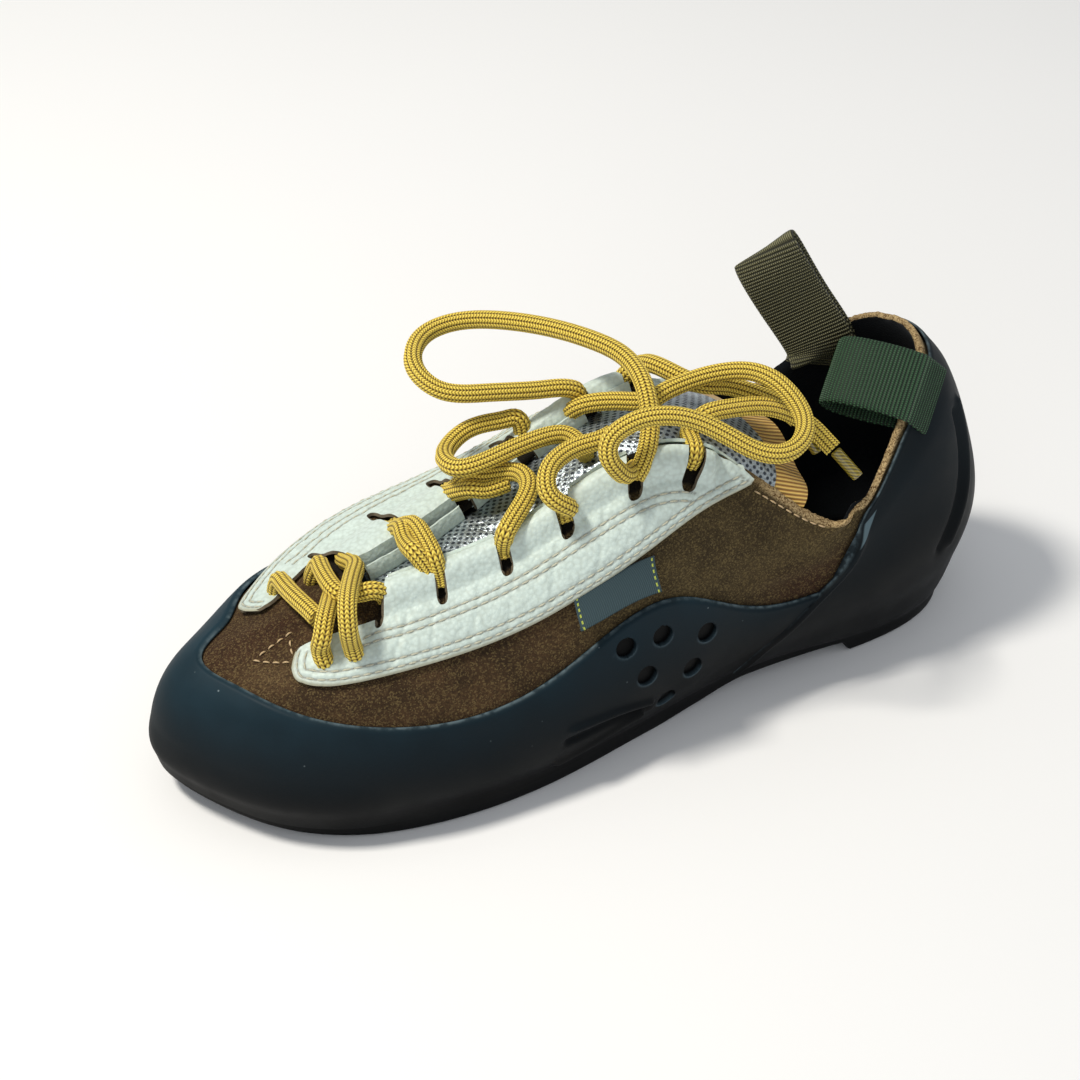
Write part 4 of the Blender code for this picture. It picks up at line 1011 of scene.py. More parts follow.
def make_plate(name, ring, profile, mat, node, stations=200, across=28):
    """Flat-lying plate: for each station along the foot, one closed profile from side to side.

    profile gives (inset, height) pairs from the upper edge over the side to the lower edge.
    """
    loops = []
    tangent = unit(np.roll(ring, -1, 0) - np.roll(ring, 1, 0))
    side = np.stack([tangent[:, 1], -tangent[:, 0]], 1)
    u = (1 - np.cos(np.linspace(0.02, math.pi - 0.02, stations))) / 2
    for inset, height in profile:
        plan = ring[:, :2] - side * inset
        toe, heel = int(np.argmin(plan[:, 0])), int(np.argmax(plan[:, 0]))
        order = np.roll(np.arange(len(plan)), -toe)
        turn = (heel - toe) % len(plan)
        one, two = plan[order[:turn + 1]], plan[np.append(order[turn:], order[0])]
        x = plan[toe, 0] + (plan[heel, 0] - plan[toe, 0]) * u
        right = np.interp(x, one[:, 0], one[:, 1])
        left = np.interp(x, two[::-1, 0], two[::-1, 1])
        loops.append((x, right, left, height))
    share = np.linspace(0, 1, across)
    rows = []
    for k in (0, len(loops) - 1):
        x, a, b, height = loops[k]
        y = a[:, None] + (b - a)[:, None] * share
        xx = np.repeat(x[:, None], across, 1)
        rows.append(np.stack([xx, y, height(xx)], -1))
    left = [np.stack([x, a, height(x)], -1) for x, a, b, height in loops[1:-1]]
    right = [np.stack([x, b, height(x)], -1) for x, a, b, height in loops[1:-1]]
    parts = [rows[0], np.stack(right, 1), rows[1][:, ::-1], np.stack(left[::-1], 1)]
    grid = np.concatenate(parts, 1)
    count, cols = grid.shape[:2]
    quads = grid_faces(count, cols, wrap_cols=True)
    return add_piece(name, grid.reshape(-1, 3), quads, [mat], caps=end_caps(count, cols), nodes=(node,),
                     sharp=50)


def make_bottom(mats):
    """Outsole with a quarter-round lower edge, and the insole cloth inside the foot's outline."""
    t = np.linspace(0, 1, 721)[:-1]
    weights = closed_spline(KNOTS, t)
    r = SOLE_EDGE
    profile = [
        (0.0005, sole_top),
        (0.0001, lambda x: sole_top(x) - 0.00015),
        (0.0, lambda x: sole_top(x) - 0.0005),
    ]
    for k in range(6):
        a = k / 5 * math.pi / 2
        profile.append((r * (1 - math.cos(a)), lambda x, a=a: sole_low(x) + r * (1 - math.sin(a))))
    make_plate("outsole_rubber", weights @ SOLE_RING, profile, mats["sole_rubber"], "outsole")
    foot = weights @ LINES[0]
    tangent = unit(np.roll(foot, -1, 0) - np.roll(foot, 1, 0))
    foot[:, :2] -= np.stack([tangent[:, 1], -tangent[:, 0]], 1) * (WALL + 0.0016)
    profile = [
        (0.0003, lambda x: sole_top(x) + LAP + INSOLE),
        (0.0, lambda x: sole_top(x) + LAP + INSOLE - 0.0004),
        (0.0, lambda x: sole_top(x) + LAP),
    ]
    make_plate("insole_cloth", foot, profile, mats["lining"], "insole", 120, 20)


def stay_lines(rows, slots, inner_side):
    """Places of a lacing strip's rows, with its outer edge, the upper edge of its band and its top edge.

    The band ends just below the slots, and dips by (1 - g^3)^0.6 at g slot halves from a slot's middle.
    From the tip its upper edge rises as (1 - (1 - u)^5)^0.42. Also gives the rows that carry a lace tab,
    the rows past the last slot, and g.
    """
    rows = np.array(rows)
    sign = -1 if inner_side else 1
    key = sign * rows[:, 0]
    lo, hi = rows[:, 0].min(), rows[:, 0].max()
    sides = np.concatenate([[s - SLOT_HALF, s + SLOT_HALF] for s in slots])
    shares = np.array([-0.94, -0.82, -0.6, -0.3, 0, 0.3, 0.6, 0.82, 0.94])
    inside = np.concatenate([s + SLOT_HALF * shares for s in slots])
    coarse = np.arange(lo, hi, 0.0010)
    coarse = coarse[np.abs(coarse[:, None] - np.array(slots)[None]).min(1) > SLOT_HALF + 0.0004]
    t = np.unique(np.round(np.concatenate([coarse, sides, inside, [hi]]), 6))
    out = monotone(key, rows[:, 1], sign * t)
    inn = monotone(key, rows[:, 2], sign * t)
    first = slots[0] + sign * -SLOT_HALF
    from_tip = sign * (t - (lo if sign > 0 else hi))
    tip_side = sign * (first - t) > 1e-6
    reach = abs(first - (lo if sign > 0 else hi))
    climb = np.clip(1 - (1 - from_tip / reach) ** 5, 0, 1) ** 0.42
    tip_edge = rows[0, 2] + (SLOT_BOTTOM - rows[0, 2]) * climb
    gap = np.abs(t[:, None] - np.array(slots)[None]).min(1) / SLOT_HALF
    dip = 0.032 * np.clip(1 - gap ** 3, 0, 1) ** 0.6
    band = np.where(tip_side, np.minimum(tip_edge, SLOT_BOTTOM), np.minimum(inn, SLOT_BOTTOM - dip))
    past = sign * (t - slots[-1]) > SLOT_HALF + 1e-6
    band = np.where(past, np.minimum(inn, SLOT_BOTTOM), band)
    loop = (gap > 1 - 1e-4) & ~tip_side
    band = np.maximum(band, out + 0.3 * (STAY_TOP - out))
    return t, out, band, inn, loop, past, gap


def blunt_tip(t, v, tip):
    """Lean a strip's places near its tip towards the toe, more the higher up, so that the tip is round."""
    lean = math.copysign(TIP_LEAN, 0.5 - tip) * (1 - ramp(np.abs(t - tip), 0.0, TIP_RUN))
    return t - lean * (v - TIP_LEVEL)


def stay_places(t, out, band, inn, loop, past, slots, tip):
    """Place, share and lift of a strip's points: the band, then the cross-section of its rolled tabs.

    Past the last slot the roll flattens out over 5 thousandths of the way round the foot. Also gives the
    number of columns of the band.
    """
    w = np.concatenate([np.linspace(0, 0.12, 6)[:-1], np.linspace(0.12, 1, 34)])
    steps = np.linspace(0, len(ARCH_UP) - 1, 25)[1:]
    up, rolled, flat = (np.interp(steps, np.arange(len(row)), row) for row in (ARCH_UP, ARCH_HIGH, ARCH_FLAT))
    top = np.where(loop | past, STAY_TOP, np.minimum(inn, STAY_TOP))
    band_v = out[:, None] + (band - out)[:, None] * w
    v = np.concatenate([band_v, band[:, None] + (top - band)[:, None] * up], 1)
    rise = np.where(past, 1 - ramp(np.abs(t - slots[-1]), SLOT_HALF + 0.003, SLOT_HALF + 0.008), 1.0)
    lift = np.zeros(v.shape)
    lift[:, len(w):] = STAY_ROLL * (flat[None] + (rolled - flat)[None] * rise[:, None])
    return blunt_tip(np.repeat(t[:, None], v.shape[1], 1), v, tip), v, lift, len(w)


def stay_faces(outer, inner, wide, solid):
    """Points and faces of a strip without its slots, and 1 for each face that shows the flesh side.

    The underside of the band is flesh side. The rolled part and its end wall, which the eye meets, stay
    white.
    """
    rows, cols = outer.shape[:2]
    cells = np.ones((rows - 1, cols - 1), bool)
    cells[:, wide - 1:] = solid[:, None]
    quads = grid_faces(rows, cols)[cells.ravel()]
    points, whole = two_sided(outer, inner, quads)
    back = (quads % cols).min(1) < wide + 10
    rim_wall = (whole[2 * len(quads):] % (rows * cols) % cols).min(1) < cols - 1
    return points, whole, np.concatenate([np.zeros(len(quads)), back, rim_wall])


def make_stay(name, node, rows, slots, inner_side, mats):
    """White leather lacing strip: a band along the foot and raised lace tabs above it.

    Its height over the last is the clearance, the sheet and the tab's lift, less the rounding of the edge
    and the grooves of the stitch rows, plus creases and grain.
    """
    t, out, band, inn, loop, past, gap = stay_lines(rows, slots, inner_side)
    tip = rows[0][0]
    tt, vv, lift, wide = stay_places(t, out, band, inn, loop, past, slots, tip)
    base, nrm = last(tt, vv), outward(tt, vv)
    flat = base + nrm * (LAP + STAY)
    rim_t = blunt_tip(t, out, tip)
    edge_line = last(rim_t, out) + outward(rim_t, out) * (LAP + STAY)
    away = near(flat, np.concatenate([edge_line, flat[0, :wide], flat[-1, :wide]]))
    rounding = 0.00055 * (1 - np.sqrt(ramp(away, -0.0001, 0.0011)))
    lines = stay_rows(t, out, band, slots, inner_side)
    from_row = np.min([near(flat, line) for line in lines], 0)
    relief = creases(base, LEATHER_CREASES) + 0.00010 * ripple(base, 0.007, 31)
    relief = relief + 0.00007 * ripple(base, 0.0035, 32)
    height = LAP + STAY + lift - rounding - 0.00026 * bell(from_row, 0.00075)
    outer = base + nrm * (height + relief * ramp(away, 0.0004, 0.002))[..., None]
    inner = outer - grid_normals(outer) * (STAY - 0.0004)
    low = np.einsum("ijk,ijk->ij", inner - base, nrm)
    inner = inner + nrm * np.maximum(LAP * 0.7 - low, 0)[..., None] * (np.abs(lift) < 1e-6)[..., None]
    solid = (loop | past)[:-1] & (loop | past)[1:] & ((gap[:-1] + gap[1:]) / 2 > 1)
    points, whole, group = stay_faces(outer, inner, wide, solid)
    inside = np.zeros(vv.size)
    add_piece(name, points, whole, [mats["white_leather"], mats["leather_back"]], nodes=(node,),
              group=group, sharp=55,
              # seam paints shade along the stitch rows' grooves, standing also for the needle holes.
              marks={"seam": np.concatenate([bell(from_row, 0.00032).ravel(), inside]),
                     "worn": np.concatenate([bell(away, 0.0009).ravel(), inside])})
    points, quads, caps, _ = join([stitches(*seat(line, outer, nrm)) for line in lines])
    add_piece(name + "_thread", points, quads, [mats["thread"]], caps=caps)


def seat(line, surface, normals):
    """Move each point of a line to the surface point nearest to it; gives places and normals."""
    flat, nrm = surface.reshape(-1, 3), normals.reshape(-1, 3)
    found = np.concatenate([((line[k:k + 50, None] - flat[None]) ** 2).sum(2).argmin(1)
                            for k in range(0, len(line), 50)])
    rise = ((flat[found] - line) * nrm[found]).sum(1)
    kernel = np.ones(5) / 5
    rise = np.convolve(np.pad(rise, 2, mode="edge"), kernel, mode="valid")
    return line + nrm[found] * rise[:, None], nrm[found]


def inset_line(t, v, inset):
    """A curve of the last moved sideways by a distance on the surface, measured square to the curve."""
    e = 1e-4
    p = last(t, v)
    dt, dv = (last(t + e, v) - last(t - e, v)) / (2 * e), (last(t, v + e) - last(t, v - e)) / (2 * e)
    ahead = unit(np.gradient(p, axis=0))
    across = unit(np.cross(unit(np.cross(dt, dv)), ahead))
    a11, a12, a22 = (dt * dt).sum(1), (dt * dv).sum(1), (dv * dv).sum(1)
    b1, b2 = (across * dt).sum(1), (across * dv).sum(1)
    det = a11 * a22 - a12 ** 2
    return t + inset * (a22 * b1 - a12 * b2) / det, v + inset * (a11 * b2 - a12 * b1) / det


def stay_rows(t, out, band, slots, inner_side):
    """Stitch lines of a strip: two rows inside its outer edge and two rows just below its slots.

    The slot rows rise by a bell at the first slot, and the near strip's rise by 0.022 more towards its
    last slots.
    """
    lines = []
    sign = -1 if inner_side else 1
    order = np.argsort(sign * t)
    ts, vs = t[order], out[order]
    tip_t = np.repeat(ts[:1], 8)
    tip_v = np.linspace(band[order][0], vs[0], 9)[:-1]
    end_t = np.repeat(ts[-1:], 8)
    end_v = np.linspace(vs[-1], min(0.982, band[order][-1] + 0.004), 9)[1:]
    ts = np.concatenate([tip_t, ts, end_t])
    vs = np.concatenate([tip_v, vs, end_v])
    whole = smooth_path(np.column_stack([ts[::6], vs[::6], 0 * ts[::6]]) * [5.5, 0.8, 1], 400) / [5.5, 0.8, 1]
    leaned = blunt_tip(whole[:, 0], whole[:, 1], ts[0])
    for inset in EDGE_ROWS:
        a, b = inset_line(leaned, whole[:, 1], sign * inset)
        keep = (b < 0.975) & (b > 0.60)
        lines.append(last(a[keep], b[keep]) + outward(a[keep], b[keep]) * (LAP + STAY))
    a = np.linspace(slots[0] - sign * 0.010, slots[-1] + sign * 0.003, 300)
    for drop in SLOT_ROWS:
        b = SLOT_BOTTOM - 0.034 - drop / SECTION_RUN + 0.010 * bell(a, 0.012, slots[0])
        b = b + (0 if inner_side else 0.022) * ramp(a, 0.235, 0.283)
        lines.append(last(a, b) + outward(a, b) * (LAP + STAY))
    return lines


def make_side_tab(mats):
    """Woven tab, bare, sewn under the strip and standing off at its folded lower edge.

    Its height over the last is TAB_LIFT u^1.5 at share u of the way down.
    """
    u = np.linspace(0, 1, 90)
    w = np.concatenate([np.linspace(0, 1, 34), [1.012, 1.015, 1.006, 0.99]])
    lift = np.concatenate([GAP + 0.0001 + TAB_LIFT * np.linspace(0, 1, 34) ** 1.5,
                           [0.0051, 0.0045, 0.0042, 0.0041]])
    uu, ww = np.meshgrid(u, w, indexing="ij")
    tt = TAB_RANGE[0] + uu * (TAB_RANGE[1] - TAB_RANGE[0])
    vv = TAB_UP[1] + ww * (TAB_UP[0] - TAB_UP[1])
    high = lift[None] + 0.00025 * np.sin(uu * math.pi * 2.2) * ww
    base, nrm = last(tt, vv), outward(tt, vv)
    outer = base + nrm * (high + TAB_SHEET)[..., None]
    inner = outer + grid_normals(outer) * TAB_SHEET * 0.8
    points, quads = two_sided(outer, inner, grid_faces(*tt.shape)[:, ::-1])
    places = np.stack([uu, ww], -1).reshape(-1, 2) * TAB_WEAVE
    add_piece("side_tab_weave", points, quads, [mats["tab"]], nodes=("side_tab",),
              uv=np.concatenate([places, places]))


def make_tongue(mats):
    """Tongue sheet with pressed waves, and its ribbon at the free end.

    The waves are uneven fields times sin(pi u)^1.5 across the sheet, and the ribbon has one more wave of
    1.6 mm across it that grows towards the free end.
    """
    half = TONGUE_COLUMNS // 2
    for name, node, span, folded, thick, mat, slot in (
            ("tongue_sheet", "tongue", (0.0, 0.955), False, TONGUE, "tongue", "tongue_mesh"),
            ("tongue_ribbon", "tongue_binding", (0.9480, 1.0), True, TONGUE + BINDING_EXTRA,
             "ribbon", "ribbon")):
        count = 24 if folded else 200
        rows = tongue_grid(np.linspace(*span, count))
        size = rows.shape[1]
        fine = open_spline(np.arange(size), np.linspace(0, size - 1, TONGUE_COLUMNS))
        grid = np.einsum("ab,cbk->cak", fine, rows)
        nrm = grid_normals(grid)
        wave = 0.00030 * ripple(grid, 0.012, 41) + 0.00018 * ripple(grid, 0.005, 42)
        side = np.sin(np.linspace(0, math.pi, TONGUE_COLUMNS))[None] ** 1.5
        grid = grid - nrm * (np.abs(wave) * side)[..., None] * (0.4 if folded else 1)
        if folded:
            turn = np.linspace(0, 5.5 * math.pi, TONGUE_COLUMNS)[None] + np.linspace(0.6, 1.9, count)[:, None]
            wave = 0.0016 * np.sin(turn) * np.linspace(0.1, 1, count)[:, None]
            grid = grid - nrm * ((wave + 0.0008) * side)[..., None]
        inner = grid - nrm * thick
        points, quads = two_sided(grid, inner, grid_faces(*grid.shape[:2]))
        along = run_along(grid[:, half]) * 1000
        over = np.linalg.norm(np.diff(grid, axis=1), axis=2).cumsum(1) * 1000
        over = np.concatenate([np.zeros((count, 1)), over], 1)
        over = over - over[:, half:half + 1]
        places = np.stack(np.broadcast_arrays(along[:, None], over), -1).reshape(-1, 2)
        # Painted shade on the flanks that dive under the upper, towards the front.
        flank = np.minimum(np.arange(TONGUE_COLUMNS), np.arange(TONGUE_COLUMNS)[::-1])
        under = 1 - ramp(flank, 8, 14)[None] * np.ones((count, 1))
        under = under * (1 - ramp(np.linspace(*span, count), 0.55, 0.80))[:, None]
        add_piece(name, points, quads, [mats[mat]], nodes=(node,), sharp=60,
                  uv=np.concatenate([places, places]), marks={"under": np.concatenate([under, under])})


def webbing(name, node, path, across, faded, mats):
    """Woven strap along a path: rounded-edge band whose ribs stand up across its width.

    At share y of the half width its half thickness is 0.35 + 0.65 (1 - y^10)^0.5, and the ribs add
    a cosine of RIB_RISE every RIB_PITCH.
    """
    path = np.asarray(path, float)
    forward = unit(np.gradient(path, axis=0))
    across = unit(across - forward * (forward @ across)[:, None])
    normal = np.cross(forward, across)
    run = run_along(path)
    y = np.linspace(-0.5, 0.5, 44) * WEBBING_WIDTH
    edge = np.sqrt(np.clip(1 - (np.abs(y) / (WEBBING_WIDTH / 2)) ** 10, 0.0, 1))
    half = WEBBING / 2 * (0.35 + 0.65 * edge)
    rib = RIB_RISE * np.cos(run / RIB_PITCH * 2 * math.pi)
    middle = path[:, None] + across[:, None] * y[None, :, None]
    thick = normal[:, None] * (half[None] + rib[:, None])[..., None]
    grid = np.concatenate([middle + thick, (middle - thick)[:, ::-1]], 1)
    rows, cols = grid.shape[:2]
    place = np.concatenate([y, y[::-1]]) * 1000
    places = np.stack(np.broadcast_arrays(run[:, None] * 1000, place[None]), -1).reshape(-1, 2)
    add_piece(name, grid.reshape(-1, 3), grid_faces(rows, cols, wrap_cols=True), [mats["webbing"]],
              caps=end_caps(rows, cols), nodes=(node,), uv=places,
              marks={"faded": np.full(rows * cols, faded)})


def collar_frame(place, off):
    """Point of the top edge pushed out by off, the way along the edge, and the way out of the foot."""
    ends = last(np.array([place - 0.02, place + 0.02]), np.array([1.0, 1.0]))
    rim = skin(np.full(1, place), np.ones(1), np.full(1, off))[0]
    return rim, ends[1] - ends[0], outward(np.array([place]), np.array([1.0]))[0]


def make_inner_loop(mats):
    """Far pull loop: up from inside the collar, over a tight fold, and down again beside itself."""
    rim, across, out = collar_frame(INNER_LOOP, -(WALL + 0.0025))
    root = skin(np.full(1, INNER_LOOP), np.array([0.86]), np.full(1, -(WALL + 0.0025)))[0]
    lean = np.array(INNER_LEAN)
    ahead = unit(lean)
    side = -unit(np.cross(unit(across), ahead))
    side *= np.sign(side @ out)
    fold = rim + lean
    back = side * LOOP_GAP
    path = smooth_path([
        root, rim, rim + lean * 0.45 + side * 0.0004, fold - ahead * 0.002,
        fold + ahead * 0.0004 - back / 2, fold - ahead * 0.002 - back,
        rim + lean * 0.45 - back, rim - back,
        root - side * (LOOP_GAP - 0.0004) + np.array([0, 0, 0.004])], STRAP_ROWS)
    webbing("pull_loop_inner_strap", "pull_loop_inner", path, across, 1.0, mats)


def make_outer_loop(mats):
    """Near pull loop: from under the heel rubber over the collar, rolled over and tucked inside the shoe."""
    rim, across, out = collar_frame(OUTER_LOOP, LAP + 0.0006)
    down = unit(np.cross(unit(across), out))
    down *= -np.sign(down[2])
    reach = np.array(OUTER_REACH)
    reach -= unit(across) * (reach @ unit(across))
    face = unit(np.cross(reach, across))
    face *= np.sign(face[2])
    rolled = [rim + face * lift + reach * share for lift, share in (
        (0.0018, 0.05), (0.0031, 0.25), (0.0034, 0.60), (0.0016, 0.92), (-0.0022, 1.03), (-0.0060, 0.96),
        (-0.0078, 0.72), (-0.0078, 0.42), (-0.0080, 0.16))]
    path = smooth_path([
        rim + down * 0.0075 + out * 0.0004, rim + down * 0.0035 + out * 0.0004,
        rim + out * 0.0004 - down * 0.0004, *rolled, rim + down * 0.0140 - out * (WALL + 0.0030)], STRAP_ROWS)
    webbing("pull_loop_outer_strap", "pull_loop_outer", path, across, 0.0, mats)


def make_laces(mats):
    """Round laces: free loops and ends as declared cords, crossings as joined strands."""
    for name, ends in AGLETS.items():
        path = smooth_path(np.array(ends), 40)
        radius = np.full(len(path), AGLET / 2)
        radius[[0, -1]] *= 0.80
        radius[[1, -2]] *= 0.94
        points, quads, caps, uv = tube(path, radius, 28, 6, 0.02)
        add_piece(name + "_sleeve", points, quads, [mats["aglet"]], caps=caps, nodes=(name,),
                               uv=uv, period=(0, 1), sharp=50)
    for name, route in CORDS.items():
        path = lace_path(route, TAILS[name])
        points, quads, caps, uv = tube(path, LACE / 2)
        piece = add_piece(name + "_braid", points, quads, [mats["lace"]], caps=caps, nodes=(name,),
                          uv=uv, period=(0, 1))
    for name, strands in CROSSINGS.items():
        parts = [tube(lace_path(route, tails), LACE / 2) for route, tails in zip(strands, STRAND_TAILS[name])]
        points, quads, caps, uv = join(parts)
        add_piece(name + "_braid", points, quads, [mats["lace"]], caps=caps, nodes=(name,),
                  uv=uv, period=(0, 1))


def make_threads(mats):
    """Pale sewn triangle on the vamp and the stitch row under the collar edge."""
    parts = []
    for a, b in zip(TRIANGLE[:-1], TRIANGLE[1:]):
        line = drawn((a, b), 40)
        flat = np.column_stack([np.linspace(a[0], b[0], 40), np.linspace(a[1], b[1], 40)])
        normal = outward(flat[:, 0], flat[:, 1])
        parts.append(stitches(line + normal * 0.0002, normal, pitch=0.0029, length=0.0021,
                              width=0.0006, height=0.0005))
    for a, b in (((0.308, 0.950), (0.345, 0.972)), ((0.704, 0.950), (0.667, 0.972))):
        t, v = np.linspace(a[0], b[0], 60), np.linspace(a[1], b[1], 60)
        parts.append(stitches(skin(t, v, np.full(60, 0.0001)), outward(t, v), pitch=0.0030, length=0.0022))
    points, quads, caps, _ = join(parts)
    add_piece("vamp_and_collar_thread", points, quads, [mats["cream_thread"]], caps=caps)


def brushed_suede():
    """Split suede, brushed: dull nap that glints at a slant, with fine specks and rubbed patches.

    Patches are 11 mm, nap 0.7 mm and specks 0.4 mm, a little coarser than the real nap so that they show.
    """
    made, tree = start("brushed split suede", Roughness=0.92, Sheen_Weight=0.22, Sheen_Roughness=0.55,
                       Sheen_Tint="b09a70", Specular_IOR_Level=0.22)
    place = add(tree, "TexCoord", out="Object")
    marks = {key: add(tree, "Attribute", out="Fac", attribute_name=key)
             for key in ("dark", "vamp", "rust_and_toe_shade", "raw", "pale")}
    patches = add(tree, "TexNoise", {"Vector": place, "Scale": 90.0, "Detail": 3.0}, "Fac")
    nap = add(tree, "TexNoise", {"Vector": place, "Scale": 1500.0, "Detail": 3.0, "Roughness": 0.7}, "Fac")
    grey = add(tree, "MapRange", {"Value": patches, "From Min": 0.35, "From Max": 0.65}, "Result")
    quarter = add(tree, "Mix", {0: grey, 6: "3a2f1c", 7: "4f4229"}, 2, data_type="RGBA")
    vamp = add(tree, "Mix", {0: grey, 6: "372718", 7: "4c3723"}, 2, data_type="RGBA")
    base = add(tree, "Mix", {0: marks["vamp"], 6: quarter, 7: vamp}, 2, data_type="RGBA")
    # The reddish mark: rubbed patches at the heel, and painted shade on the vamp's front by the toe.
    base = add(tree, "Mix", {0: marks["rust_and_toe_shade"], 6: base, 7: "371f14"}, 2, data_type="RGBA")
    # Painted pool of light by the little toe.
    base = add(tree, "Mix", {0: marks["pale"], 6: base, 7: "54402a"}, 2, data_type="RGBA")
    grain = add(tree, "TexVoronoi", {"Vector": place, "Scale": 2700.0}, "Color")
    grain = add(tree, "SeparateColor", {"Color": grain}, "Red")
    speck = add(tree, "MapRange", {"Value": grain, "From Min": 0.60, "From Max": 1.0, "To Max": 0.40},
                "Result")
    base = add(tree, "Mix", {0: speck, 6: base, 7: "8f7c50"}, 2, data_type="RGBA")
    pit = add(tree, "MapRange", {"Value": grain, "From Min": 0.40, "From Max": 0.05, "To Max": 0.55},
              "Result")
    base = add(tree, "Mix", {0: pit, 6: base, 7: "1f160c"}, 2, data_type="RGBA")
    fray = add(tree, "Mix", {0: grain, 6: "5a4023", 7: "cbb182"}, 2, data_type="RGBA")
    base = add(tree, "Mix", {0: marks["raw"], 6: base, 7: fray}, 2, data_type="RGBA")
    # Painted shade: near black in the throat's slit, the slots and under the rand.
    base = add(tree, "Mix", {0: marks["dark"], 6: base, 7: "0c0a09"}, 2, data_type="RGBA")
    rough = add(tree, "Math", {0: grain, 1: 0.6, 2: nap}, 0, operation="MULTIPLY_ADD")
    bump = add(tree, "Bump", {"Height": rough, "Distance": 0.00045, "Strength": 0.8}, "Normal")
    return finish(made, Base_Color=base, Normal=bump)


def black_lining():
    """Brushed synthetic lining: black pile of 0.5 mm tufts that gives back almost nothing."""
    made, tree = start("brushed black lining", Roughness=0.97, Specular_IOR_Level=0.12, Sheen_Weight=0.12)
    place = add(tree, "TexCoord", out="Object")
    pile = add(tree, "TexNoise", {"Vector": place, "Scale": 1900.0, "Detail": 2.0}, "Fac")
    base = add(tree, "Mix", {0: pile, 6: "06080a", 7: "171c21"}, 2, data_type="RGBA")
    bump = add(tree, "Bump", {"Height": pile, "Distance": 0.0003, "Strength": 0.6}, "Normal")
    return finish(made, Base_Color=base, Normal=bump)


def climbing_rubber(name, one, two, rough, mark_colours=()):
    """Pressed climbing rubber: satin blue-black skin, with mottling of 14 mm and grain of 0.4 mm.

    Dust specks of 0.5 mm lie in about one cell of eight, and the cells are 4 mm. Each entry of the mark
    list is a mark of the mesh and its colour: painted shade low down and in the holes, a painted highlight
    on the holes' lower edges, a lighter slate patch, and the pale trimmed edge, which is broken up in
    patches of 2.4 mm.
    """
    made, tree = start(name, Specular_IOR_Level=0.12, IOR=1.52)
    place = add(tree, "TexCoord", out="Object")
    cloud = add(tree, "TexNoise", {"Vector": place, "Scale": 70.0, "Detail": 4.0}, "Fac")
    fine = add(tree, "TexNoise", {"Vector": place, "Scale": 2400.0, "Detail": 2.0}, "Fac")
    base = add(tree, "Mix", {0: cloud, 6: one, 7: two}, 2, data_type="RGBA")
    dots = add(tree, "TexVoronoi", {"Vector": place, "Scale": 260.0}, feature="F1")
    rare = add(tree, "SeparateColor", {"Color": dots.outputs["Color"]}, "Red")
    rare = add(tree, "MapRange", {"Value": rare, "From Min": 0.86, "From Max": 0.90}, "Result")
    near_dot = add(tree, "MapRange", {"Value": dots.outputs["Distance"], "From Min": 0.085,
                                      "From Max": 0.045, "To Max": 0.55}, "Result")
    dust = add(tree, "Math", {0: rare, 1: near_dot}, 0, operation="MULTIPLY")
    base = add(tree, "Mix", {0: dust, 6: base, 7: "9fb0b4"}, 2, data_type="RGBA")
    # Mark colours: painted shade (low, dark), a painted highlight on the holes' lower edges, the slate patch
    # and the trimmed edge.
    for mark, colour in mark_colours:
        amount = add(tree, "Attribute", out="Fac", attribute_name=mark)
        if mark == "edge":
            patchy = add(tree, "TexNoise", {"Vector": place, "Scale": 420.0, "Detail": 3.0}, "Fac")
            patchy = add(tree, "MapRange", {"Value": patchy, "From Min": 0.40, "From Max": 0.62,
                                            "To Min": 0.15, "To Max": 0.75}, "Result")
            amount = add(tree, "Math", {0: amount, 1: patchy}, 0, operation="MULTIPLY")
        base = add(tree, "Mix", {0: amount, 6: base, 7: colour}, 2, data_type="RGBA")
    shine = add(tree, "MapRange", {"Value": cloud, "From Min": 0.3, "From Max": 0.7,
                                   "To Min": rough - 0.06, "To Max": rough + 0.08}, "Result")
    bump = add(tree, "Bump", {"Height": fine, "Distance": 0.00006, "Strength": 0.5}, "Normal")
    return finish(made, Base_Color=base, Roughness=shine, Normal=bump)


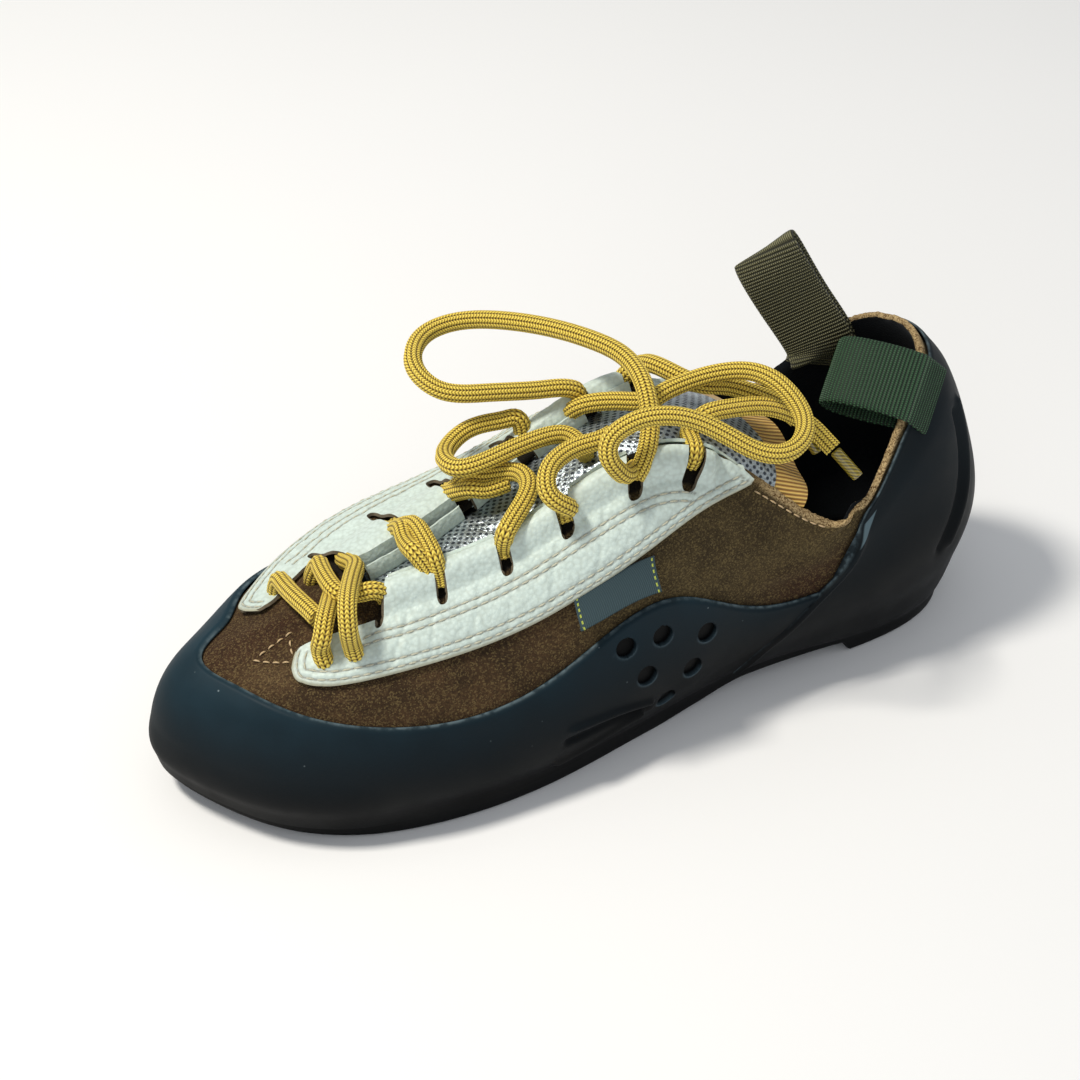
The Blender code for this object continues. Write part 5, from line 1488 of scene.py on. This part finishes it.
def white_leather():
    """Full-grain leather, pigment coated: cool white, grey in the creases, warm and dull at worn edges.

    Pebbles are 1.2 mm, fine wrinkles 2.4 mm and clouds 17 mm.
    """
    made, tree = start("pigmented white leather", Roughness=0.50, Specular_IOR_Level=0.45,
                       Coat_Weight=0.08, Coat_Roughness=0.35)
    place = add(tree, "TexCoord", out="Object")
    pebble = add(tree, "TexVoronoi", {"Vector": place, "Scale": 820.0, "Smoothness": 0.5},
                 "Distance", feature="SMOOTH_F1")
    wrinkle = add(tree, "TexNoise", {"Vector": place, "Scale": 420.0, "Detail": 4.0,
                                     "Roughness": 0.6}, "Fac")
    cloud = add(tree, "TexNoise", {"Vector": place, "Scale": 60.0, "Detail": 3.0}, "Fac")
    seam = add(tree, "Attribute", out="Fac", attribute_name="seam")
    worn = add(tree, "Attribute", out="Fac", attribute_name="worn")
    base = add(tree, "Mix", {0: cloud, 6: "c9d9d2", 7: "dcebe4"}, 2, data_type="RGBA")
    crack = add(tree, "MapRange", {"Value": pebble, "From Min": 0.35, "From Max": 0.75,
                                   "To Max": 0.30}, "Result")
    base = add(tree, "Mix", {0: crack, 6: base, 7: "9fa79b"}, 2, data_type="RGBA")
    base = add(tree, "Mix", {0: worn, 6: base, 7: "a9a78f"}, 2, data_type="RGBA")
    # Painted shade in the stitch rows' grooves, standing also for the needle holes.
    amount = add(tree, "Math", {0: seam, 1: 0.85}, 0, operation="MULTIPLY")
    base = add(tree, "Mix", {0: amount, 6: base, 7: "57493a"}, 2, data_type="RGBA")
    lumps = add(tree, "Math", {0: pebble, 1: -0.55, 2: wrinkle}, 0, operation="MULTIPLY_ADD")
    bump = add(tree, "Bump", {"Height": lumps, "Distance": 0.00042, "Strength": 0.7}, "Normal")
    return finish(made, Base_Color=base, Normal=bump)


def flesh_side():
    """Cut edge and flesh side of the same hide: warm grey fibres of 0.6 mm, no shine."""
    made, tree = start("leather flesh side", Roughness=0.92, Specular_IOR_Level=0.2)
    place = add(tree, "TexCoord", out="Object")
    fibre = add(tree, "TexNoise", {"Vector": place, "Scale": 1600.0, "Detail": 3.0}, "Fac")
    base = add(tree, "Mix", {0: fibre, 6: "4d4336", 7: "7a705e"}, 2, data_type="RGBA")
    return finish(made, Base_Color=base)


def sewing_thread(name, one, two):
    """Bonded polyester sewing thread: waxy, its 0.4 mm plies in two shades."""
    made, tree = start(name, Roughness=0.55, Specular_IOR_Level=0.4)
    place = add(tree, "TexCoord", out="Object")
    ply = add(tree, "TexNoise", {"Vector": place, "Scale": 2600.0, "Detail": 1.0}, "Fac")
    base = add(tree, "Mix", {0: ply, 6: one, 7: two}, 2, data_type="RGBA")
    return finish(made, Base_Color=base)


def woven_slate():
    """Woven polyester tab: slate twill of 0.4 mm ribs, with a green-yellow overlock at both ends.

    The flat places run 0 to 22.5 along the tab and 0 to 7 down it, close to millimetres.
    """
    made, tree = start("woven slate tab", Roughness=0.75, Specular_IOR_Level=0.3, Sheen_Weight=0.15)
    flat = add(tree, "UVMap", out="UV", uv_map="flat")
    twill = add(tree, "TexWave", {"Vector": flat, "Scale": 1.05}, "Fac", bands_direction="DIAGONAL")
    split = add(tree, "SeparateXYZ", {"Vector": flat})
    base = add(tree, "Mix", {0: twill, 6: "22343b", 7: "384d53"}, 2, data_type="RGBA")
    middle = add(tree, "Math", {0: split.outputs["X"], 1: 11.25}, 0, operation="SUBTRACT")
    middle = add(tree, "Math", {0: middle}, 0, operation="ABSOLUTE")
    first = add(tree, "Math", {0: middle, 1: 10.45, 2: 0.22}, 0, operation="COMPARE")
    step = add(tree, "Math", {0: split.outputs["Y"], 1: 0.62}, 0, operation="PINGPONG")
    step = add(tree, "Math", {0: step, 1: 0.30}, 0, operation="GREATER_THAN")
    first = add(tree, "Math", {0: first, 1: step}, 0, operation="MULTIPLY")
    base = add(tree, "Mix", {0: first, 6: base, 7: "a9b44a"}, 2, data_type="RGBA")
    bump = add(tree, "Bump", {"Height": twill, "Distance": 0.00012, "Strength": 0.6}, "Normal")
    return finish(made, Base_Color=base, Normal=bump)


def silver_mesh():
    """Perforated metal-coated fabric: silver film that crumples, with dark dots and painted shade on the
    flanks.
    The dots are 1.1 mm wide and 1.7 mm apart, in rows at 45 degrees. Crumples are 3 mm, and glints of 0.5 mm
    are painted into the colour, from dark grey to near white.
    """
    made, tree = start("silver coated mesh", Metallic=0.80, Roughness=0.34)
    flat = add(tree, "UVMap", out="UV", uv_map="flat")
    place = add(tree, "TexCoord", out="Object")
    turn = add(tree, "Mapping", {"Vector": flat, "Rotation": (0, 0, math.radians(45)),
                                 "Scale": (0.58, 0.58, 0.58)}, "Vector")
    grid = add(tree, "TexVoronoi", {"Vector": turn, "Scale": 1.0, "Randomness": 0.0}, "Distance",
               voronoi_dimensions="2D")
    dot = add(tree, "MapRange", {"Value": grid, "From Min": 0.37, "From Max": 0.25, "To Max": 0.9}, "Result")
    crumple = add(tree, "TexNoise", {"Vector": place, "Scale": 330.0, "Detail": 4.0,
                                     "Roughness": 0.65}, "Fac")
    glit = add(tree, "TexNoise", {"Vector": place, "Scale": 2200.0, "Detail": 1.0}, "Fac")
    # Painted glints: fine noise runs the colour from dark grey to near white.
    base = add(tree, "Mix", {0: glit, 6: "6d777e", 7: "dbe6ea"}, 2, data_type="RGBA")
    base = add(tree, "Mix", {0: dot, 6: base, 7: "2a313c"}, 2, data_type="RGBA")
    # Painted shade where the flanks run under the upper.
    under = add(tree, "Attribute", out="Fac", attribute_name="under")
    base = add(tree, "Mix", {0: under, 6: base, 7: "191a1c"}, 2, data_type="RGBA")
    lumps = add(tree, "Math", {0: glit, 1: 0.16, 2: crumple}, 0, operation="MULTIPLY_ADD")
    bump = add(tree, "Bump", {"Height": lumps, "Distance": 0.0009, "Strength": 0.7}, "Normal")
    return finish(made, Base_Color=base, Normal=bump)


def gold_ribbon():
    """Grosgrain ribbon: gold yarns over cords 1.2 mm apart, coarser than the real ones so that they show."""
    made, tree = start("gold grosgrain ribbon", Roughness=0.45, Specular_IOR_Level=0.5, Sheen_Weight=0.2)
    flat = add(tree, "UVMap", out="UV", uv_map="flat")
    cord = add(tree, "TexWave", {"Vector": flat, "Scale": 0.262}, "Fac", bands_direction="Y")
    # The colour runs from dark brown in each groove to pale gold on each cord: painted shade and highlight on
    # the cords.
    base = add(tree, "Mix", {0: cord, 6: "8a5716", 7: "f7cf70"}, 2, data_type="RGBA")
    bump = add(tree, "Bump", {"Height": cord, "Distance": 0.0003, "Strength": 0.8}, "Normal")
    return finish(made, Base_Color=base, Normal=bump)


def nylon_webbing():
    """Nylon webbing: ribs across the width every 1.05 mm, each a row of 0.6 mm yarn floats, with a painted
    highlight on each crest and float.

    It is dark green on the near loop, and lighter and more olive on the far one: partly its own tint, and
    partly painted light for the light that falls on it.
    """
    made, tree = start("olive nylon webbing", Roughness=0.50, Specular_IOR_Level=0.4)
    flat = add(tree, "UVMap", out="UV", uv_map="flat")
    split = add(tree, "SeparateXYZ", {"Vector": flat})
    rib = add(tree, "Math", {0: split.outputs["X"], 1: 1.05}, 0, operation="DIVIDE")
    rib_half = add(tree, "Math", {0: rib, 1: 0.5}, 0, operation="PINGPONG")
    crest = add(tree, "MapRange", {"Value": rib_half, "From Min": 0.44, "From Max": 0.12}, "Result")
    row = add(tree, "Math", {0: rib, 1: 0.5}, 0, operation="ADD")
    row = add(tree, "Math", {0: row}, 0, operation="FLOOR")
    shift = add(tree, "Math", {0: row, 1: 0.31, 2: split.outputs["Y"]}, 0, operation="MULTIPLY_ADD")
    float_half = add(tree, "Math", {0: shift, 1: 0.31}, 0, operation="PINGPONG")
    yarn = add(tree, "MapRange", {"Value": float_half, "From Min": 0.28, "From Max": 0.10}, "Result")
    # Painted highlight on each rib's crest and yarn float.
    lit = add(tree, "Math", {0: crest, 1: yarn}, 0, operation="MULTIPLY")
    # The far loop is lighter and more olive: partly its own tint, partly painted light.
    far_mix = add(tree, "Attribute", out="Fac", attribute_name="faded")
    dark = add(tree, "Mix", {0: far_mix, 6: "0c1a10", 7: "26261a"}, 2, data_type="RGBA")
    pale = add(tree, "Mix", {0: far_mix, 6: "416b48", 7: "85825f"}, 2, data_type="RGBA")
    base = add(tree, "Mix", {0: lit, 6: dark, 7: pale}, 2, data_type="RGBA")
    bump = add(tree, "Bump", {"Height": lit, "Distance": 0.00035, "Strength": 0.8}, "Normal")
    return finish(made, Base_Color=base, Normal=bump)


def braided_lace():
    """Braided polyester lace: ten gold herringbone columns, 0.9 mm a stitch, with dark brown tracers."""
    made, tree = start("braided gold lace", Roughness=0.62, Specular_IOR_Level=0.35, Sheen_Weight=0.25,
                       Sheen_Roughness=0.4, Sheen_Tint="ffe9a0")
    flat = add(tree, "UVMap", out="UV", uv_map="flat")
    split = add(tree, "SeparateXYZ", {"Vector": flat})
    column = add(tree, "Math", {0: split.outputs["Y"], 1: 10.0}, 0, operation="MULTIPLY")
    off = add(tree, "Math", {0: column, 1: 0.5}, 0, operation="PINGPONG")
    along = add(tree, "Math", {0: split.outputs["X"], 1: 11.5}, 0, operation="MULTIPLY")
    slant = add(tree, "Math", {0: off, 1: 1.3, 2: along}, 0, operation="MULTIPLY_ADD")
    strand = add(tree, "Math", {0: slant, 1: 0.5}, 0, operation="PINGPONG")
    round_strand = add(tree, "MapRange", {"Value": strand, "From Min": 0.48, "From Max": 0.16}, "Result")
    valley = add(tree, "MapRange", {"Value": off, "From Min": 0.30, "From Max": 0.42}, "Result")
    tracer = add(tree, "MapRange", {"Value": strand, "From Min": 0.14, "From Max": 0.30}, "Result")
    tracer = add(tree, "Math", {0: valley, 1: tracer}, 0, operation="MULTIPLY")
    gap = add(tree, "MapRange", {"Value": strand, "From Min": 0.36, "From Max": 0.48, "To Max": 0.55},
              "Result")
    groove = add(tree, "Math", {0: valley, 1: 0.65}, 0, operation="MULTIPLY")
    gap = add(tree, "Math", {0: gap, 1: groove}, 0, operation="MAXIMUM")
    # Each strand is painted lighter on its crest (painted highlight), and the gaps and grooves between
    # columns darker (painted shade); the tracers are the lace's own dark yarn.
    base = add(tree, "Mix", {0: round_strand, 6: "bc9526", 7: "ffe465"}, 2, data_type="RGBA")
    base = add(tree, "Mix", {0: gap, 6: base, 7: "80560f"}, 2, data_type="RGBA")
    base = add(tree, "Mix", {0: tracer, 6: base, 7: "3d2908"}, 2, data_type="RGBA")
    lumps = add(tree, "Math", {0: valley, 1: -0.8, 2: round_strand}, 0, operation="MULTIPLY_ADD")
    bump = add(tree, "Bump", {"Height": lumps, "Distance": 0.00028, "Strength": 0.9}, "Normal")
    return finish(made, Base_Color=base, Normal=bump)


def acetate_tip():
    """Shrunk acetate sleeve over the braid's end: clear gloss, the olive gold weave showing through."""
    made, tree = start("clear acetate lace tip", Roughness=0.28, Coat_Weight=0.9, Coat_Roughness=0.08)
    flat = add(tree, "UVMap", out="UV", uv_map="flat")
    weave = add(tree, "TexWave", {"Vector": flat, "Scale": 5.0, "Distortion": 2.0}, "Fac",
                bands_direction="DIAGONAL")
    base = add(tree, "Mix", {0: weave, 6: "4d4413", 7: "a08d2c"}, 2, data_type="RGBA")
    return finish(made, Base_Color=base)


def make_materials():
    """Every material of the shoe, by the name that its pieces ask for."""
    # Painted light on the rubber: low darkens it towards the bottom, dark colours the holes' floors near
    # black, and the holes' lower edges get a painted highlight.
    dark = ("low", "050607")
    trimmed = ("edge", "6d7f86")
    return {
        "suede": brushed_suede(),
        "lining": black_lining(),
        "rand": climbing_rubber("pressed rand rubber", "14252d", "213a46", 0.55,
                                (dark, trimmed, ("dark", "040506"), ("lip_highlight", "3c4c54"))),
        "heel_rubber": climbing_rubber("moulded heel rubber", "0b1215", "131e25", 0.54,
                                       (dark, trimmed, ("patch", "5c7078"))),
        "sole_rubber": climbing_rubber("calendered sole rubber", "0a0d0f", "0f1316", 0.62),
        "white_leather": white_leather(),
        "leather_back": flesh_side(),
        "thread": sewing_thread("bonded pale thread", "a9a68f", "d9d7c4"),
        "cream_thread": sewing_thread("bonded cream thread", "b08f66", "dcc49a"),
        "tab": woven_slate(),
        "tongue": silver_mesh(),
        "ribbon": gold_ribbon(),
        "webbing": nylon_webbing(),
        "lace": braided_lace(),
        "aglet": acetate_tip(),
    }


def make_camera():
    """Camera at the photograph's angle, CAMERA_DISTANCE back from its target."""
    turn, rise = math.radians(CAMERA_TURN), math.radians(CAMERA_RISE)
    back = Vector((math.sin(turn) * math.cos(rise), -math.cos(turn) * math.cos(rise), math.sin(rise)))
    camera = bpy.data.objects.new("camera", bpy.data.cameras.new("camera"))
    bpy.context.scene.collection.objects.link(camera)
    camera.data.sensor_width = SENSOR
    camera.data.lens = SENSOR * FOCAL_PIXELS / FRAME_PIXELS
    camera.data.clip_start = 0.05
    camera.data.clip_end = 10
    camera.location = Vector(CAMERA_TARGET) + back * CAMERA_DISTANCE
    camera.rotation_euler = (-back).to_track_quat("-Z", "Y").to_euler()
    bpy.context.scene.camera = camera


def make_studio():
    """Pale floor, one main soft light high over the toe, two weak fills and a light grey sky."""
    centre = Vector((0.05, 0.0, 0.05))
    for name, place, size, power, tint in (
            ("main light", (-0.50, 0.16, 1.15), 0.20, 12.0, "fffaf0"),
            ("front fill", (-0.60, -1.10, 0.75), 0.90, 2.2, "eef5ff"),
            ("side fill", (1.10, -0.30, 0.60), 0.80, 1.0, "f2f6ff")):
        light = bpy.data.lights.new(name, "AREA")
        light.size = size
        light.energy = power
        light.color = linear(tint)[:3]
        lamp = bpy.data.objects.new(name, light)
        lamp.location = place
        lamp.rotation_euler = (centre - Vector(place)).to_track_quat("-Z", "Y").to_euler()
        bpy.context.scene.collection.objects.link(lamp)
    world = bpy.data.worlds.new("studio air")
    bpy.context.scene.world = world
    world.use_nodes = True
    world.node_tree.nodes["Background"].inputs["Color"].default_value = linear("f4f7fa")
    world.node_tree.nodes["Background"].inputs["Strength"].default_value = 0.42
    mesh = bpy.data.meshes.new("floor")
    mesh.from_pydata([(-3, -3, 0), (3, -3, 0), (3, 3, 0), (-3, 3, 0)], [], [(0, 1, 2, 3)])
    floor = bpy.data.objects.new("floor", mesh)
    made, tree = start("matt white card", Roughness=0.9, Specular_IOR_Level=0.1)
    place = add(tree, "TexCoord", out="Object")
    tone = add(tree, "TexNoise", {"Vector": place, "Scale": 3.0}, "Fac")
    base = add(tree, "Mix", {0: tone, 6: "f6f6f6", 7: "fbfbfb"}, 2, data_type="RGBA")
    mesh.materials.append(finish(made, Base_Color=base))
    bpy.context.scene.collection.objects.link(floor)
    bpy.context.scene.view_settings.view_transform = "Standard"


make_camera()
materials = make_materials()
make_laces(materials)
make_upper(materials)
make_toe_rand(materials)
make_heel_rand(materials)
make_bottom(materials)
make_stay("eyestay_outer_leather", "eyestay_outer", STAY_OUTER, SLOTS_OUTER, False, materials)
make_stay("eyestay_inner_leather", "eyestay_inner", STAY_INNER, SLOTS_INNER, True, materials)
make_side_tab(materials)
make_tongue(materials)
make_inner_loop(materials)
make_outer_loop(materials)
make_threads(materials)
make_studio()
